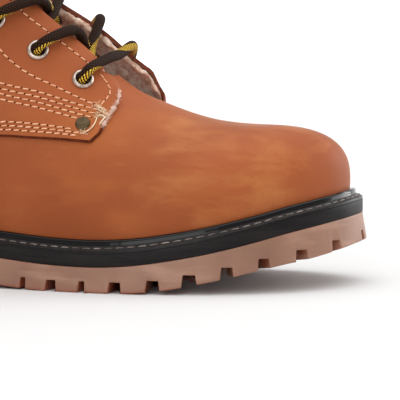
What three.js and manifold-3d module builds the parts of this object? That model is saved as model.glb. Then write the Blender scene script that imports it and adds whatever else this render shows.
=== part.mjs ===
// A lace-up winter boot for the right foot, built as a shoemaker puts it together: a lugged rubber outsole,
// a rubber midsole, a welt with its bead, a hollow leather upper whose quarters lie over the vamp, a tongue,
// an insole, eyelets, rivets and the crossings of the lace.
// Millimetres. +X points to the toe, +Y to the inner side of the foot, +Z up, and the floor is at z = 0.
// The origin is on the floor under the middle of the heel.
import * as THREE from "three";
import { mergeVertices } from "three/addons/utils/BufferGeometryUtils.js";
import Module from "manifold-3d";

const wasm = await Module();
wasm.setup();

// Driving dimensions of the sole.
const SOLE_LENGTH = 306;
const BALL_WIDTH = 110;
const HEEL_SETBACK = 38; // from the sole's rear end to the origin
const OUTSOLE_EDGE = 11; // height of the outsole's side at the ball
const HEEL_LIFT = 13.5; // how much higher the heel carries the foot than the ball
const TOE_SPRING = 19; // how far the tread's tip stands off the floor
const MIDSOLE = 5.4;
const WELT_HEIGHT = 5.3;
const SOLE_FLARE = 1.6; // the outsole's lower edge stands out by this much
const HEEL_BEVEL = 2.2;
const LUG_DEPTH = 4.7;
const LUG_GAP = 5.8;
const LUG_LENGTH = 21; // from the edge in to the channel that runs round the tread
const CHANNEL = 4.5;
const CLEARANCE = 0.3; // between two pieces that touch

// Driving dimensions of the upper.
const UPPER_INSET = 6; // from the midsole's edge in to the upper
const INSTEP_HEIGHT = 77.3; // the ridge over the floor at the front of the lacing
const COLLAR_HEIGHT = 180; // the shaft's top over the floor, at the back
const LEATHER = 2; // the vamp's wall
const QUARTER_LAYER = 1.6; // what the quarters add where they lie over the vamp
const INSOLE = 3;
const LATERAL_LIFT = 2.8; // how far the free front of each flap stands off the vamp
const MEDIAL_LIFT = 9;
const TONGUE_THICKNESS = 3.4;
const TONGUE_ROOM = 3; // between the wall's inner face and the tongue, for the lining
const TONGUE_OVER = 14; // over the collar's front

// Driving dimensions of the lacing and of the rivets.
const LACE_WIDTH = 4.6;
const LACE_PLAY = 1; // the eyelet's bore is this much wider than the lace
const EYELET_PAIRS = 6;
const EYELET_RIM = 1.9;
const EYELET_FLANGE = 1.2;
const EYELET_WALL = 0.7;
const EYELET_ROLL = 1.1; // how far the eyelet's barrel stands out behind the leather
const EYELET_MARGIN = 10.4; // from the facing's edge to the eyelet's middle
const COLLAR_MARGIN = 12; // from the collar to the top eyelet's middle
const RIVET_WIDTH = 6.5;
const RIVET_HEIGHT = 1.3;

// How fine the faceted surfaces are.
const OUTLINE_POINTS = 52; // round the sole
const FINE_POINTS = 720; // round the sole, for measuring
const PROFILE_STEPS = 26; // along the sole
const CHANNEL_STEPS = 16;
const LEVEL_COUNT = 8; // from the foot to the top of a section
const ROW_STEPS = 2; // sections between two rows of the table
const TOE_STEPS = 10;
const TONGUE_COLUMNS = 4;
const ROUND_SIDES = 10; // sides of the small round pieces
const LACE_SIDES = 7;
const LACE_STEPS = 1.6; // to each point of its path
const HALVING_COUNT = 30; // of a range that is searched
const WELD = 1e-3; // points this close are one
const TINY = 1e-9;

const HALF_BALL = BALL_WIDTH / 2;
const xAt = (share) => share * SOLE_LENGTH - HEEL_SETBACK;

// A smooth curve through the rows of a table: one of its columns as a function of another.
function curve(table, key, column) {
  const t = table.map((row) => row[key]);
  const v = table.map((row) => row[column]);
  const last = t.length - 1;
  const slope = t.map((_, i) => {
    if (i === 0) return (v[1] - v[0]) / (t[1] - t[0]);
    if (i === last) return (v[last] - v[last - 1]) / (t[last] - t[last - 1]);
    const before = t[i] - t[i - 1];
    const after = t[i + 1] - t[i];
    return (((v[i] - v[i - 1]) / before) * after + ((v[i + 1] - v[i]) / after) * before) / (before + after);
  });
  return (at) => {
    if (at <= t[0]) return v[0];
    if (at >= t[last]) return v[last];
    let i = 0;
    while (at > t[i + 1]) i += 1;
    const span = t[i + 1] - t[i];
    const u = (at - t[i]) / span;
    return (
      (1 + 2 * u) * (1 - u) ** 2 * v[i] +
      u * (1 - u) ** 2 * span * slope[i] +
      (3 - 2 * u) * u ** 2 * v[i + 1] +
      (u - 1) * u ** 2 * span * slope[i + 1]
    );
  };
}

// The sole's outline: half widths on each side, as shares of half the ball width,
// at shares of the length from the heel's back.
const OUTLINE = [
  { along: 0.018, lateral: 0.33, medial: 0.33 },
  { along: 0.055, lateral: 0.57, medial: 0.56 },
  { along: 0.12, lateral: 0.72, medial: 0.7 },
  { along: 0.2, lateral: 0.755, medial: 0.73 },
  { along: 0.3, lateral: 0.74, medial: 0.68 },
  { along: 0.4, lateral: 0.745, medial: 0.62 },
  { along: 0.5, lateral: 0.82, medial: 0.66 },
  { along: 0.6, lateral: 0.93, medial: 0.81 },
  { along: 0.68, lateral: 0.99, medial: 0.95 },
  { along: 0.75, lateral: 0.985, medial: 1.01 },
  { along: 0.82, lateral: 0.905, medial: 0.99 },
  { along: 0.88, lateral: 0.765, medial: 0.915 },
  { along: 0.93, lateral: 0.575, medial: 0.79 },
  { along: 0.968, lateral: 0.345, medial: 0.62 },
  { along: 0.987, lateral: 0.155, medial: 0.455 },
];
const TOE_POINT = { along: 0.996, medial: 0.17 }; // the toe's tip lies off the middle, to the inner side

// The outline moved in by an inset, as a closed loop of points from the heel's back round the outer side.
const CLOSING_POINTS = 3; // points carried over each end, so that the loop is smooth where it closes
function outlineLoop(inset, count) {
  const corners = [
    [0, 0],
    ...OUTLINE.map((row) => [row.along, -row.lateral]),
    [TOE_POINT.along, TOE_POINT.medial],
    ...OUTLINE.map((row) => [row.along, row.medial]).reverse(),
  ].map(([share, side]) => new THREE.Vector2(xAt(share), side * HALF_BALL));
  const around = [...corners.slice(-CLOSING_POINTS), ...corners, ...corners.slice(0, CLOSING_POINTS)];
  let travelled = 0;
  const rows = around.map((p, i) => {
    travelled += i ? p.distanceTo(around[i - 1]) : 0;
    return { at: travelled, x: p.x, y: p.y };
  });
  const x = curve(rows, "at", "x");
  const y = curve(rows, "at", "y");
  const start = rows[CLOSING_POINTS].at;
  const end = rows[CLOSING_POINTS + corners.length].at;
  const loop = Array.from({ length: count }, (_, i) => {
    const at = start + ((end - start) * i) / count;
    return new THREE.Vector2(x(at), y(at));
  });
  return loop.map((p, i) => {
    const d = loop[(i + 1) % count].clone().sub(loop[(i + count - 1) % count]).normalize();
    return new THREE.Vector2(p.x - d.y * inset, p.y + d.x * inset);
  });
}

// Where a line from a centre, turned by an angle from +X, crosses a loop round that centre.
function reach(loop, centre, angle) {
  const direction = new THREE.Vector2(Math.cos(angle), Math.sin(angle));
  let found = 0;
  loop.forEach((a, i) => {
    const b = loop[(i + 1) % loop.length];
    const edge = b.clone().sub(a);
    const from = a.clone().sub(centre);
    const cross = direction.x * edge.y - direction.y * edge.x;
    if (Math.abs(cross) < TINY) return;
    const distance = (from.x * edge.y - from.y * edge.x) / cross;
    const share = (from.x * direction.y - from.y * direction.x) / cross;
    if (share >= 0 && share <= 1 && distance > found) found = distance;
  });
  return found;
}

// Heights of the tread and of the outsole's top, at shares of the length.
const TREAD = [
  { along: 0.3072, arch: 0.7, toe: 0 },
  { along: 0.3856, arch: 0.46, toe: 0 },
  { along: 0.4608, arch: 0.25, toe: 0 },
  { along: 0.5327, arch: 0.08, toe: 0 },
  { along: 0.585, arch: 0, toe: 0 },
  { along: 0.6863, arch: 0, toe: 0 },
  { along: 0.7255, arch: 0, toe: 0.026 },
  { along: 0.7647, arch: 0, toe: 0.1 },
  { along: 0.807, arch: 0, toe: 0.23 },
  { along: 0.846, arch: 0, toe: 0.36 },
  { along: 0.882, arch: 0, toe: 0.5 },
  { along: 0.918, arch: 0, toe: 0.637 },
  { along: 0.951, arch: 0, toe: 0.75 },
  { along: 0.974, arch: 0, toe: 0.853 },
  { along: 1, arch: 0, toe: 1 },
];
const FOOTBED = [
  { along: 0, lift: 1.04, toe: 0 },
  { along: 0.12, lift: 1, toe: 0 },
  { along: 0.22, lift: 0.9, toe: 0 },
  { along: 0.3072, lift: 0.71, toe: 0 },
  { along: 0.3856, lift: 0.49, toe: 0 },
  { along: 0.4608, lift: 0.28, toe: 0 },
  { along: 0.5327, lift: 0.11, toe: 0 },
  { along: 0.6, lift: 0, toe: 0 },
  { along: 0.68, lift: 0, toe: 0 },
  { along: 0.7255, lift: 0, toe: 0.063 },
  { along: 0.7647, lift: 0, toe: 0.158 },
  { along: 0.807, lift: 0, toe: 0.28 },
  { along: 0.846, lift: 0, toe: 0.42 },
  { along: 0.882, lift: 0, toe: 0.57 },
  { along: 0.918, lift: 0, toe: 0.735 },
  { along: 0.951, lift: 0, toe: 0.865 },
  { along: 0.974, lift: 0, toe: 0.955 },
  { along: 1, lift: 0, toe: 1.058 },
];
const shareAt = (x) => (x + HEEL_SETBACK) / SOLE_LENGTH;
const archOfTread = curve(TREAD, "along", "arch");
const toeOfTread = curve(TREAD, "along", "toe");
const liftOfBed = curve(FOOTBED, "along", "lift");
const toeOfBed = curve(FOOTBED, "along", "toe");
const treadHeight = (x) =>
  Math.max(0, HEEL_LIFT * archOfTread(shareAt(x)) + TOE_SPRING * toeOfTread(shareAt(x)));
const outsoleTop = (x) =>
  OUTSOLE_EDGE + HEEL_LIFT * liftOfBed(shareAt(x)) + TOE_SPRING * toeOfBed(shareAt(x));
const midsoleTop = (x) => outsoleTop(x) + CLEARANCE + MIDSOLE;
const seat = (x) => midsoleTop(x) + CLEARANCE;

// The upper's sections, from the toe box up to the collar. Each is a plane across the boot, from a point on
// its ridge, instep or shaft front to a point on the seat or, from the heel's corner on, up the back.
// front and back are shares of the length, low and high set the front point's height from the instep's and
// the collar's, and rise sets the back point's from the seat to the collar.
const HEEL_CORNER = 10; // the row whose back point lies at the heel's lower corner
const SECTION_LINES = [
  { front: 0.8497, low: 0.885, high: 0, back: 0.8497, rise: 0 },
  { front: 0.8039, low: 0.893, high: 0, back: 0.8007, rise: 0 },
  { front: 0.7582, low: 0.938, high: 0, back: 0.7516, rise: 0 },
  { front: 0.7157, low: 1, high: 0, back: 0.6993, rise: 0 },
  { front: 0.6765, low: 1, high: 0.053, back: 0.6275, rise: 0 },
  { front: 0.6405, low: 1, high: 0.138, back: 0.5229, rise: 0 },
  { front: 0.6013, low: 1, high: 0.248, back: 0.3693, rise: 0 },
  { front: 0.5654, low: 1, high: 0.352, back: 0.1895, rise: 0 },
  { front: 0.555, low: 1, high: 0.385, back: 0.1, rise: 0 },
  { front: 0.546, low: 1, high: 0.415, back: 0.045, rise: 0 },
  { front: 0.536, low: 1, high: 0.447, back: 0.0206, rise: 0 },
  { front: 0.5098, low: 1, high: 0.533, back: 0.006, rise: 0.164 },
  { front: 0.4837, low: 1, high: 0.63, back: 0.007, rise: 0.318 },
  { front: 0.4608, low: 1, high: 0.727, back: 0.018, rise: 0.465 },
  { front: 0.4412, low: 1, high: 0.825, back: 0.027, rise: 0.6 },
  { front: 0.4248, low: 1, high: 0.922, back: 0.031, rise: 0.733 },
  { front: 0.4118, low: 1, high: 1.01, back: 0.031, rise: 0.866 },
  { front: 0.4052, low: 1, high: 1.078, back: 0.028, rise: 1 },
];
// Their shapes: centre, lateral and medial are shares of half the ball width, widest is the share of
// the section's depth where it is widest, and crown and base are how square its upper and lower parts are.
const SECTION_SHAPES = [
  { centre: 0.064, lateral: 0.828, medial: 0.822, widest: 0.27, crown: 2.55, base: 2 },
  { centre: 0.06, lateral: 0.92, medial: 0.87, widest: 0.25, crown: 2.4, base: 2 },
  { centre: 0.045, lateral: 0.955, medial: 0.89, widest: 0.24, crown: 2.25, base: 2 },
  { centre: 0.025, lateral: 0.948, medial: 0.88, widest: 0.23, crown: 2.15, base: 2 },
  { centre: 0.01, lateral: 0.895, medial: 0.79, widest: 0.22, crown: 2.1, base: 2 },
  { centre: 0, lateral: 0.8, medial: 0.67, widest: 0.25, crown: 2.05, base: 2 },
  { centre: 0, lateral: 0.72, medial: 0.65, widest: 0.36, crown: 2.05, base: 2 },
  { centre: 0, lateral: 0.7, medial: 0.66, widest: 0.42, crown: 2.05, base: 2.3 },
  { centre: 0, lateral: 0.69, medial: 0.66, widest: 0.45, crown: 2.05, base: 2.4 },
  { centre: 0, lateral: 0.685, medial: 0.66, widest: 0.47, crown: 2.05, base: 2.5 },
  { centre: 0, lateral: 0.68, medial: 0.655, widest: 0.48, crown: 2.05, base: 2.6 },
  { centre: 0, lateral: 0.655, medial: 0.64, widest: 0.49, crown: 2.05, base: 2.25 },
  { centre: 0, lateral: 0.64, medial: 0.63, widest: 0.5, crown: 2.05, base: 2.25 },
  { centre: 0, lateral: 0.645, medial: 0.64, widest: 0.5, crown: 2.05, base: 2.2 },
  { centre: 0, lateral: 0.67, medial: 0.665, widest: 0.5, crown: 2.05, base: 2.15 },
  { centre: 0, lateral: 0.7, medial: 0.695, widest: 0.5, crown: 2.1, base: 2.1 },
  { centre: 0, lateral: 0.725, medial: 0.72, widest: 0.5, crown: 2.1, base: 2.1 },
  { centre: 0, lateral: 0.745, medial: 0.74, widest: 0.5, crown: 2.1, base: 2.1 },
];
const SECTIONS = SECTION_LINES.map((line, at) => ({ at, ...line, ...SECTION_SHAPES[at] }));
const sectionCurves = Object.fromEntries(
  Object.keys(SECTIONS[0]).map((column) => [column, curve(SECTIONS, "at", column)]),
);
const feather = outlineLoop(UPPER_INSET + CLEARANCE, FINE_POINTS);
const heelEnd = Math.min(...feather.map((p) => p.x));

// How far the feather line, where the upper meets the sole, lies from a centre line at x, on one side.
function featherWidth(x, centre, side) {
  const inside = new THREE.Vector2(Math.max(x, heelEnd), centre);
  return reach(feather, inside, (side * Math.PI) / 2);
}

// A point of half a section, in millimetres out from its centre and up from its foot.
// foot is the width at the foot, level runs from 0 at the foot to 1 at the top.
const FULLEST = 0.98; // a foot is at most this share of the section's width
function halfSection(level, depth, foot, width, widest, crown, base) {
  const half = Math.max(width, foot / FULLEST);
  const ratio = foot / half;
  const below = (widest * depth) / (1 - ratio ** base) ** (1 / base);
  const first = -Math.asin(Math.min(1, (widest * depth) / below));
  const turn = first + (Math.PI / 2 - first) * level;
  const sine = Math.sin(turn);
  const power = sine > 0 ? crown : base;
  return {
    out: half * Math.max(0, 1 - Math.abs(sine) ** power) ** (1 / power),
    up: widest * depth + (sine > 0 ? (1 - widest) * depth : below) * sine,
  };
}

// The frame and the sizes of a section, on one side.
function sectionAt(at, side) {
  const of = Object.fromEntries(Object.entries(sectionCurves).map(([column, f]) => [column, f(at)]));
  const topHeight = of.low * INSTEP_HEIGHT + of.high * (COLLAR_HEIGHT - INSTEP_HEIGHT);
  const top = new THREE.Vector3(xAt(of.front), 0, topHeight);
  const onSeat = at < HEEL_CORNER;
  const footX = onSeat ? Math.max(xAt(of.back), heelEnd) : xAt(of.back);
  const floor = seat(footX);
  const rise = onSeat ? 0 : of.rise;
  const foot = new THREE.Vector3(footX, 0, floor + rise * (COLLAR_HEIGHT - floor));
  const centre = of.centre * HALF_BALL;
  return {
    foot,
    centre,
    side,
    depth: top.distanceTo(foot),
    direction: top.clone().sub(foot).normalize(),
    footWidth: onSeat ? featherWidth(footX, centre, side) : 0,
    width: (side < 0 ? of.lateral : of.medial) * HALF_BALL,
    widest: of.widest,
    crown: of.crown,
    base: of.base,
  };
}

function sectionPoint(section, out, up) {
  const { foot, direction, centre, side } = section;
  return foot.clone().addScaledVector(direction, up).setY(centre + side * out);
}

// The points of one side of a section, from its foot to its top.
function sectionColumn(at, side, levels) {
  const section = sectionAt(at, side);
  const { depth, footWidth, width, widest, crown, base } = section;
  return Array.from({ length: levels + 1 }, (_, i) => {
    const { out, up } = halfSection(i / levels, depth, footWidth, width, widest, crown, base);
    return sectionPoint(section, out, up);
  });
}

// The toe is made of upright sections that turn about a point on the ridge, the first of SECTIONS' centre.
const TOE_WIDEST = 0.27;
const TOE_CROWN = 2.7;
const TOE_BULGE = 1.02; // over the width at the toe's foot
function toeColumn(angle, levels) {
  const first = SECTIONS[0];
  const centre = new THREE.Vector2(xAt(first.front), first.centre * HALF_BALL);
  const foot = reach(feather, centre, angle);
  const forward = Math.cos(angle) ** 2;
  const footX = centre.x + foot * Math.cos(angle);
  const floor = seat(footX);
  const depth = first.low * INSTEP_HEIGHT - floor;
  const widest = first.widest + (TOE_WIDEST - first.widest) * forward;
  const crown = first.crown + (TOE_CROWN - first.crown) * forward;
  const side = angle < 0 ? first.lateral : first.medial;
  const width = Math.max(foot * TOE_BULGE, side * HALF_BALL * (1 - forward));
  return Array.from({ length: levels + 1 }, (_, i) => {
    const point = halfSection(i / levels, depth, foot, width, widest, crown, first.base);
    return new THREE.Vector3(
      centre.x + point.out * Math.cos(angle),
      centre.y + point.out * Math.sin(angle),
      floor + point.up,
    );
  });
}

// A closed mesh as a solid, turned so that its faces point out.
function solidOf(geometry) {
  const plain = new THREE.BufferGeometry();
  plain.setAttribute("position", geometry.attributes.position);
  plain.setIndex(geometry.index);
  const merged = mergeVertices(plain, WELD);
  const index = [];
  for (let i = 0; i < merged.index.count; i += 3) {
    const [a, b, c] = [0, 1, 2].map((k) => merged.index.getX(i + k));
    if (a !== b && b !== c && c !== a) index.push(a, b, c);
  }
  const vertProperties = merged.attributes.position.array;
  const build = () => {
    const triVerts = new Uint32Array(index);
    return new wasm.Manifold(new wasm.Mesh({ numProp: 3, vertProperties, triVerts }));
  };
  const solid = build();
  if (solid.volume() > 0) return solid;
  index.reverse();
  return build();
}

function solidFrom(points, triangles) {
  const geometry = new THREE.BufferGeometry();
  const numbers = points.flatMap((p) => [p.x, p.y, p.z]);
  geometry.setAttribute("position", new THREE.Float32BufferAttribute(numbers, 3));
  geometry.setIndex(triangles.flat());
  return solidOf(geometry);
}

// A straight prism: a flat outline and the placing of its plane, with its depth along the plane's own z.
function prism(outline, depth, placing) {
  const shape = new THREE.Shape(outline.map(([x, y]) => new THREE.Vector2(x, y)));
  const geometry = new THREE.ExtrudeGeometry(shape, { depth, bevelEnabled: false });
  return solidOf(geometry.applyMatrix4(placing));
}

// A prism across the boot, from an outline drawn on its side view.
const ACROSS = BALL_WIDTH * 2;
function acrossBoot(outline, from = -ACROSS / 2, to = ACROSS / 2) {
  const placing = new THREE.Matrix4().makeBasis(
    new THREE.Vector3(1, 0, 0),
    new THREE.Vector3(0, 0, 1),
    new THREE.Vector3(0, -1, 0),
  );
  return prism(outline, to - from, placing.setPosition(0, to, 0));
}

// How far a flap of the quarters stands off the vamp and the tongue at a point. The flaps are free along
// the lacing's front end, and the inner one is turned up.
const FLAP_FREE = { out: 0.27, held: 0.62 }; // shares of half the ball width
const FLAP_RISE = { from: -0.1, to: 0.02 }; // shares of the throat's length
const FLAP_SETTLE = { from: 0.14, to: 0.6 };
const FLAP_FRONT = { from: 0.4, to: 0.5 }; // shares of the boot's length
const THROAT_FROM = { along: 0.6667, height: 1.06 }; // shares of the length and of the instep's height
const THROAT_TO = { along: 0.4052, height: 1.045 }; // and of the collar's
const smooth = THREE.MathUtils.smoothstep;
const throatStart = new THREE.Vector3(xAt(THROAT_FROM.along), 0, INSTEP_HEIGHT * THROAT_FROM.height);
const throatEnd = new THREE.Vector3(xAt(THROAT_TO.along), 0, COLLAR_HEIGHT * THROAT_TO.height);
const throatLength = throatStart.distanceTo(throatEnd);
const throatLine = throatEnd.clone().sub(throatStart).normalize();
const throatNormal = new THREE.Vector3(throatLine.z, 0, -throatLine.x);
function flapLift(point) {
  const up = point.clone().sub(throatStart).dot(throatLine) / throatLength;
  const free = 1 - smooth(Math.abs(point.y) / HALF_BALL, FLAP_FREE.out, FLAP_FREE.held);
  const raised = smooth(up, FLAP_RISE.from, FLAP_RISE.to);
  const settled = 1 - smooth(up, FLAP_SETTLE.from, FLAP_SETTLE.to);
  const front = smooth(point.x, xAt(FLAP_FRONT.from), xAt(FLAP_FRONT.to));
  return (point.y < 0 ? LATERAL_LIFT : MEDIAL_LIFT) * free * raised * settled * front;
}

// The outside of the upper as one closed form, swollen by an offset that may differ from point to point.
// lowered moves its open foot down and raised its collar up, so that a hollow cuts right through.
function lastForm(offset, { lowered = 0, raised = 0 } = {}) {
  const rows = Array.from({ length: (SECTIONS.length - 1) * ROW_STEPS + 1 }, (_, i) => i / ROW_STEPS);
  const lateral = rows.map((at) => sectionColumn(at, -1, LEVEL_COUNT));
  const medial = rows.map((at) => sectionColumn(at, 1, LEVEL_COUNT));
  const toe = Array.from({ length: TOE_STEPS - 1 }, (_, i) =>
    toeColumn(Math.PI * ((i + 1) / TOE_STEPS - 0.5), LEVEL_COUNT),
  );
  const columns = [...[...lateral].reverse(), ...toe, ...medial];
  const points = columns.flat();
  const at = (column, level) => column * (LEVEL_COUNT + 1) + level;
  const sides = [];
  for (let c = 0; c + 1 < columns.length; c += 1) {
    for (let l = 0; l < LEVEL_COUNT; l += 1) {
      const [a, b, d, e] = [at(c, l), at(c + 1, l), at(c + 1, l + 1), at(c, l + 1)];
      if (c < columns.length / 2) sides.push([a, b, e], [b, d, e]);
      else sides.push([a, b, d], [a, d, e]);
    }
  }
  // Points that coincide share one normal.
  const key = (p) => [p.x, p.y, p.z].map((v) => Math.round(v / WELD)).join();
  const normals = new Map(points.map((p) => [key(p), new THREE.Vector3()]));
  sides.forEach(([a, b, c]) => {
    const normal = points[b].clone().sub(points[a]).cross(points[c].clone().sub(points[a]));
    [a, b, c].forEach((i) => normals.get(key(points[i])).add(normal));
  });
  const heelColumn = (SECTIONS.length - 1 - HEEL_CORNER) * ROW_STEPS;
  const last = columns.length - 1;
  const moved = points.map((p, i) => {
    const column = Math.floor(i / (LEVEL_COUNT + 1));
    const onSeat = i % (LEVEL_COUNT + 1) === 0 && column >= heelColumn && column <= last - heelColumn;
    const normal = normals.get(key(p)).clone().normalize();
    if (onSeat || column === 0 || column === last) normal.setZ(0).normalize();
    return p.clone().addScaledVector(normal, offset(p));
  });
  // Skirts carry the open foot straight down and the collar straight up, and strips close them across.
  const rim = [];
  for (let l = 0; l <= LEVEL_COUNT; l += 1) rim.push(at(last, l));
  for (let l = LEVEL_COUNT; l >= 0; l -= 1) rim.push(at(0, l));
  const foot = [];
  for (let c = heelColumn; c <= last - heelColumn; c += 1) foot.push(at(c, 0));
  const skirt = (edge, by) => {
    const first = moved.length;
    moved.push(...edge.map((i) => moved[i].clone().setZ(moved[i].z + by)));
    for (let k = 0; k + 1 < edge.length; k += 1) {
      sides.push([edge[k + 1], edge[k], first + k], [edge[k + 1], first + k, first + k + 1]);
    }
    for (let k = 0; k < edge.length - 2 - k; k += 1) {
      const [g, h] = [first + edge.length - 1 - k, first + edge.length - 2 - k];
      sides.push([first + k + 1, first + k, g], [first + k + 1, g, h]);
    }
  };
  skirt(foot, -lowered);
  skirt(rim, raised);
  return solidFrom(moved, sides);
}

// The wall's inner face: the vamp's lining side forward, the quarters' own in the shaft.
const SHAFT_FRONT = { from: 0.4, to: 0.52 }; // shares of the length over which the one turns into the other
const innerFace = (p) => {
  const forward = smooth(p.x, xAt(SHAFT_FRONT.from), xAt(SHAFT_FRONT.to));
  return QUARTER_LAYER * (1 - forward) - LEATHER;
};

const UNDER_THROAT = 30; // how deep the cuts reach below the straight line along the throat

// The cut between the quarters' facing edges and the wider one in the vamp under them, drawn on a plane along
// the throat: up as shares of the throat's length, and half widths as shares of half the ball width.
const FACINGS = [
  { up: -0.3, lateral: 0.7, medial: 0.9 },
  { up: -0.1, lateral: 0.7, medial: 0.75 },
  { up: -0.075, lateral: 0.65, medial: 0.56 },
  { up: -0.042, lateral: 0.5, medial: 0.38 },
  { up: -0.018, lateral: 0.36, medial: 0.3 },
  { up: 0.015, lateral: 0.27, medial: 0.25 },
  { up: 0.06, lateral: 0.23, medial: 0.225 },
  { up: 0.12, lateral: 0.22, medial: 0.22 },
  { up: 1.4, lateral: 0.22, medial: 0.22 },
];
const VAMP_SLIT = [
  { up: 0.07, lateral: 0.02, medial: 0.02 },
  { up: 0.08, lateral: 0.2, medial: 0.2 },
  { up: 0.11, lateral: 0.36, medial: 0.36 },
  { up: 0.16, lateral: 0.43, medial: 0.43 },
  { up: 1.4, lateral: 0.43, medial: 0.43 },
];
function throatCut(table) {
  const side = (column, sign) => table.map((row) => [row.up * throatLength, sign * row[column] * HALF_BALL]);
  const outline = [...side("lateral", -1), ...side("medial", 1).reverse()];
  const start = throatStart.clone().addScaledVector(throatNormal, -UNDER_THROAT);
  const placing = new THREE.Matrix4().makeBasis(throatLine, new THREE.Vector3(0, 1, 0), throatNormal);
  return prism(outline, UNDER_THROAT * 4, placing.setPosition(start));
}

// The quarters' lower and front edge on the side view, from the sole up and forward to the throat,
// as shares of the length and of the instep's height.
const QUARTER_EDGE = [
  { along: 0.362, height: 0 },
  { along: 0.362, height: 0.3 },
  { along: 0.372, height: 0.47 },
  { along: 0.394, height: 0.62 },
  { along: 0.425, height: 0.74 },
  { along: 0.465, height: 0.815 },
  { along: 0.512, height: 0.845 },
  { along: 0.556, height: 0.84 },
  { along: 0.6, height: 0.834 },
  { along: 0.6445, height: 0.823 },
];
const LATERAL_FRONT = [
  { along: 0.6545, height: 0.862 },
  { along: 0.66, height: 0.92 },
  { along: 0.6665, height: 0.97 },
  { along: 0.674, height: 1.03 },
  { along: 0.69, height: 1.2 },
];
const MEDIAL_FRONT = [
  { along: 0.664, height: 0.84 },
  { along: 0.682, height: 0.9 },
  { along: 0.7, height: 0.97 },
  { along: 0.712, height: 1.06 },
  { along: 0.72, height: 1.2 },
];
function quarterSide(front, from, to) {
  const edge = [...QUARTER_EDGE, ...front].map((row) => [xAt(row.along), row.height * INSTEP_HEIGHT]);
  const [top] = edge.slice(-1);
  const above = COLLAR_HEIGHT * 1.5;
  const behind = -HEEL_SETBACK * 2;
  return acrossBoot([...edge, [top[0], above], [behind, above], [behind, 0]], from, to);
}

const CUT_THROUGH = 6; // a cutting form reaches past the foot and the collar by this much
const SKIN = 0.05; // keeps the quarters' inner face off the vamp's
const cutting = { lowered: CUT_THROUGH, raised: CUT_THROUGH };
const vamp = lastForm(() => 0).subtract(throatCut(VAMP_SLIT));
const lateralOutline = quarterSide(LATERAL_FRONT, -ACROSS / 2, 0);
const medialOutline = quarterSide(MEDIAL_FRONT, 0, ACROSS / 2);
const quarters = lastForm((p) => QUARTER_LAYER + flapLift(p))
  .subtract(lastForm((p) => innerFace(p) + flapLift(p) + SKIN, cutting))
  .intersect(lateralOutline.add(medialOutline))
  .subtract(throatCut(FACINGS));
const hollow = lastForm(innerFace, cutting);

// A solid as a three.js mesh.
function meshOf(name, solid, material) {
  const mesh = solid.getMesh();
  const geometry = new THREE.BufferGeometry();
  geometry.setAttribute("position", new THREE.Float32BufferAttribute(mesh.vertProperties, 3));
  geometry.setIndex(new THREE.Uint32BufferAttribute(mesh.triVerts, 1));
  geometry.computeVertexNormals();
  const made = new THREE.Mesh(geometry, material);
  made.name = name;
  return made;
}

// A place on the upper's crown, out from its centre line, moved off the surface by an offset.
const NEAR = 0.05; // a small step along the sections, or out from the centre
function onUpper(at, side, out, offset = () => 0) {
  const place = (a, o) => {
    const section = sectionAt(a, side);
    const { depth, footWidth, width, widest, crown } = section;
    const half = Math.max(width, footWidth / FULLEST);
    const sine = (1 - Math.min(1, o / half) ** crown) ** (1 / crown);
    return sectionPoint(section, o, widest * depth + (1 - widest) * depth * sine);
  };
  const facing = (a, o) => {
    const alongIt = place(a + NEAR, o).sub(place(a - NEAR, o));
    const acrossIt = place(a, o + NEAR).sub(place(a, Math.max(0, o - NEAR)));
    return acrossIt.cross(alongIt).multiplyScalar(side).normalize();
  };
  const base = place(at, out);
  return { base, point: base.clone().addScaledVector(facing(at, out), offset(base)) };
}

// The section through a place on the crown at a given x.
function sectionThrough(x, side, out) {
  let [low, high] = [0, SECTIONS.length - 1];
  for (let i = 0; i < HALVING_COUNT; i += 1) {
    const middle = (low + high) / 2;
    if (onUpper(middle, side, out).base.x > x) low = middle;
    else high = middle;
  }
  return low;
}

// Eyelets stand in pairs along the facings, evenly from the first one up to the collar.
const FIRST_EYELET = 0.616; // share of the length
const facingEdge = FACINGS[FACINGS.length - 1].lateral * HALF_BALL;
const eyeletOut = facingEdge + EYELET_MARGIN;
const eyeletBore = LACE_WIDTH + LACE_PLAY;
const eyeletWidth = eyeletBore + EYELET_RIM * 2;
const eyeletBarrel = QUARTER_LAYER + CLEARANCE + EYELET_ROLL;
function eyeletSections(side) {
  const path = [];
  const first = sectionThrough(xAt(FIRST_EYELET), side, eyeletOut);
  let travelled = 0;
  for (let at = first; at < SECTIONS.length - 1; at += NEAR / 5) {
    const place = onUpper(at, side, eyeletOut).base;
    travelled += path.length ? place.distanceTo(path[path.length - 1].place) : 0;
    path.push({ at, place, travelled });
  }
  const pitch = (travelled - COLLAR_MARGIN) / (EYELET_PAIRS - 1);
  const sectionOf = (pair) => path.find((step) => step.travelled >= pitch * pair).at;
  return Array.from({ length: EYELET_PAIRS }, (_, pair) => sectionOf(pair));
}
const outside = (p) => QUARTER_LAYER + flapLift(p);

// How high the quarters' faces stand within a width round a point, over the plane that faces the given way.
const quarterFaces = meshOf("quarters", quarters, new THREE.MeshBasicMaterial());
const RAY_COUNT = 8; // round the rim
function heightWithin(point, facing, width) {
  const turn = new THREE.Quaternion().setFromUnitVectors(new THREE.Vector3(0, 0, 1), facing);
  const down = facing.clone().negate();
  const above = width * 2;
  const spots = [new THREE.Vector3()];
  for (let i = 0; i < RAY_COUNT; i += 1) {
    const angle = (i / RAY_COUNT) * Math.PI * 2;
    spots.push(new THREE.Vector3(Math.cos(angle), Math.sin(angle), 0).multiplyScalar(width / 2));
  }
  const heights = spots.flatMap((spot) => {
    const start = spot.applyQuaternion(turn).add(point).addScaledVector(facing, above);
    const hits = new THREE.Raycaster(start, down, 0, above * 2).intersectObject(quarterFaces);
    return hits.slice(0, 1).map((hit) => above - hit.distance);
  });
  return Math.max(0, ...heights);
}

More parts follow.
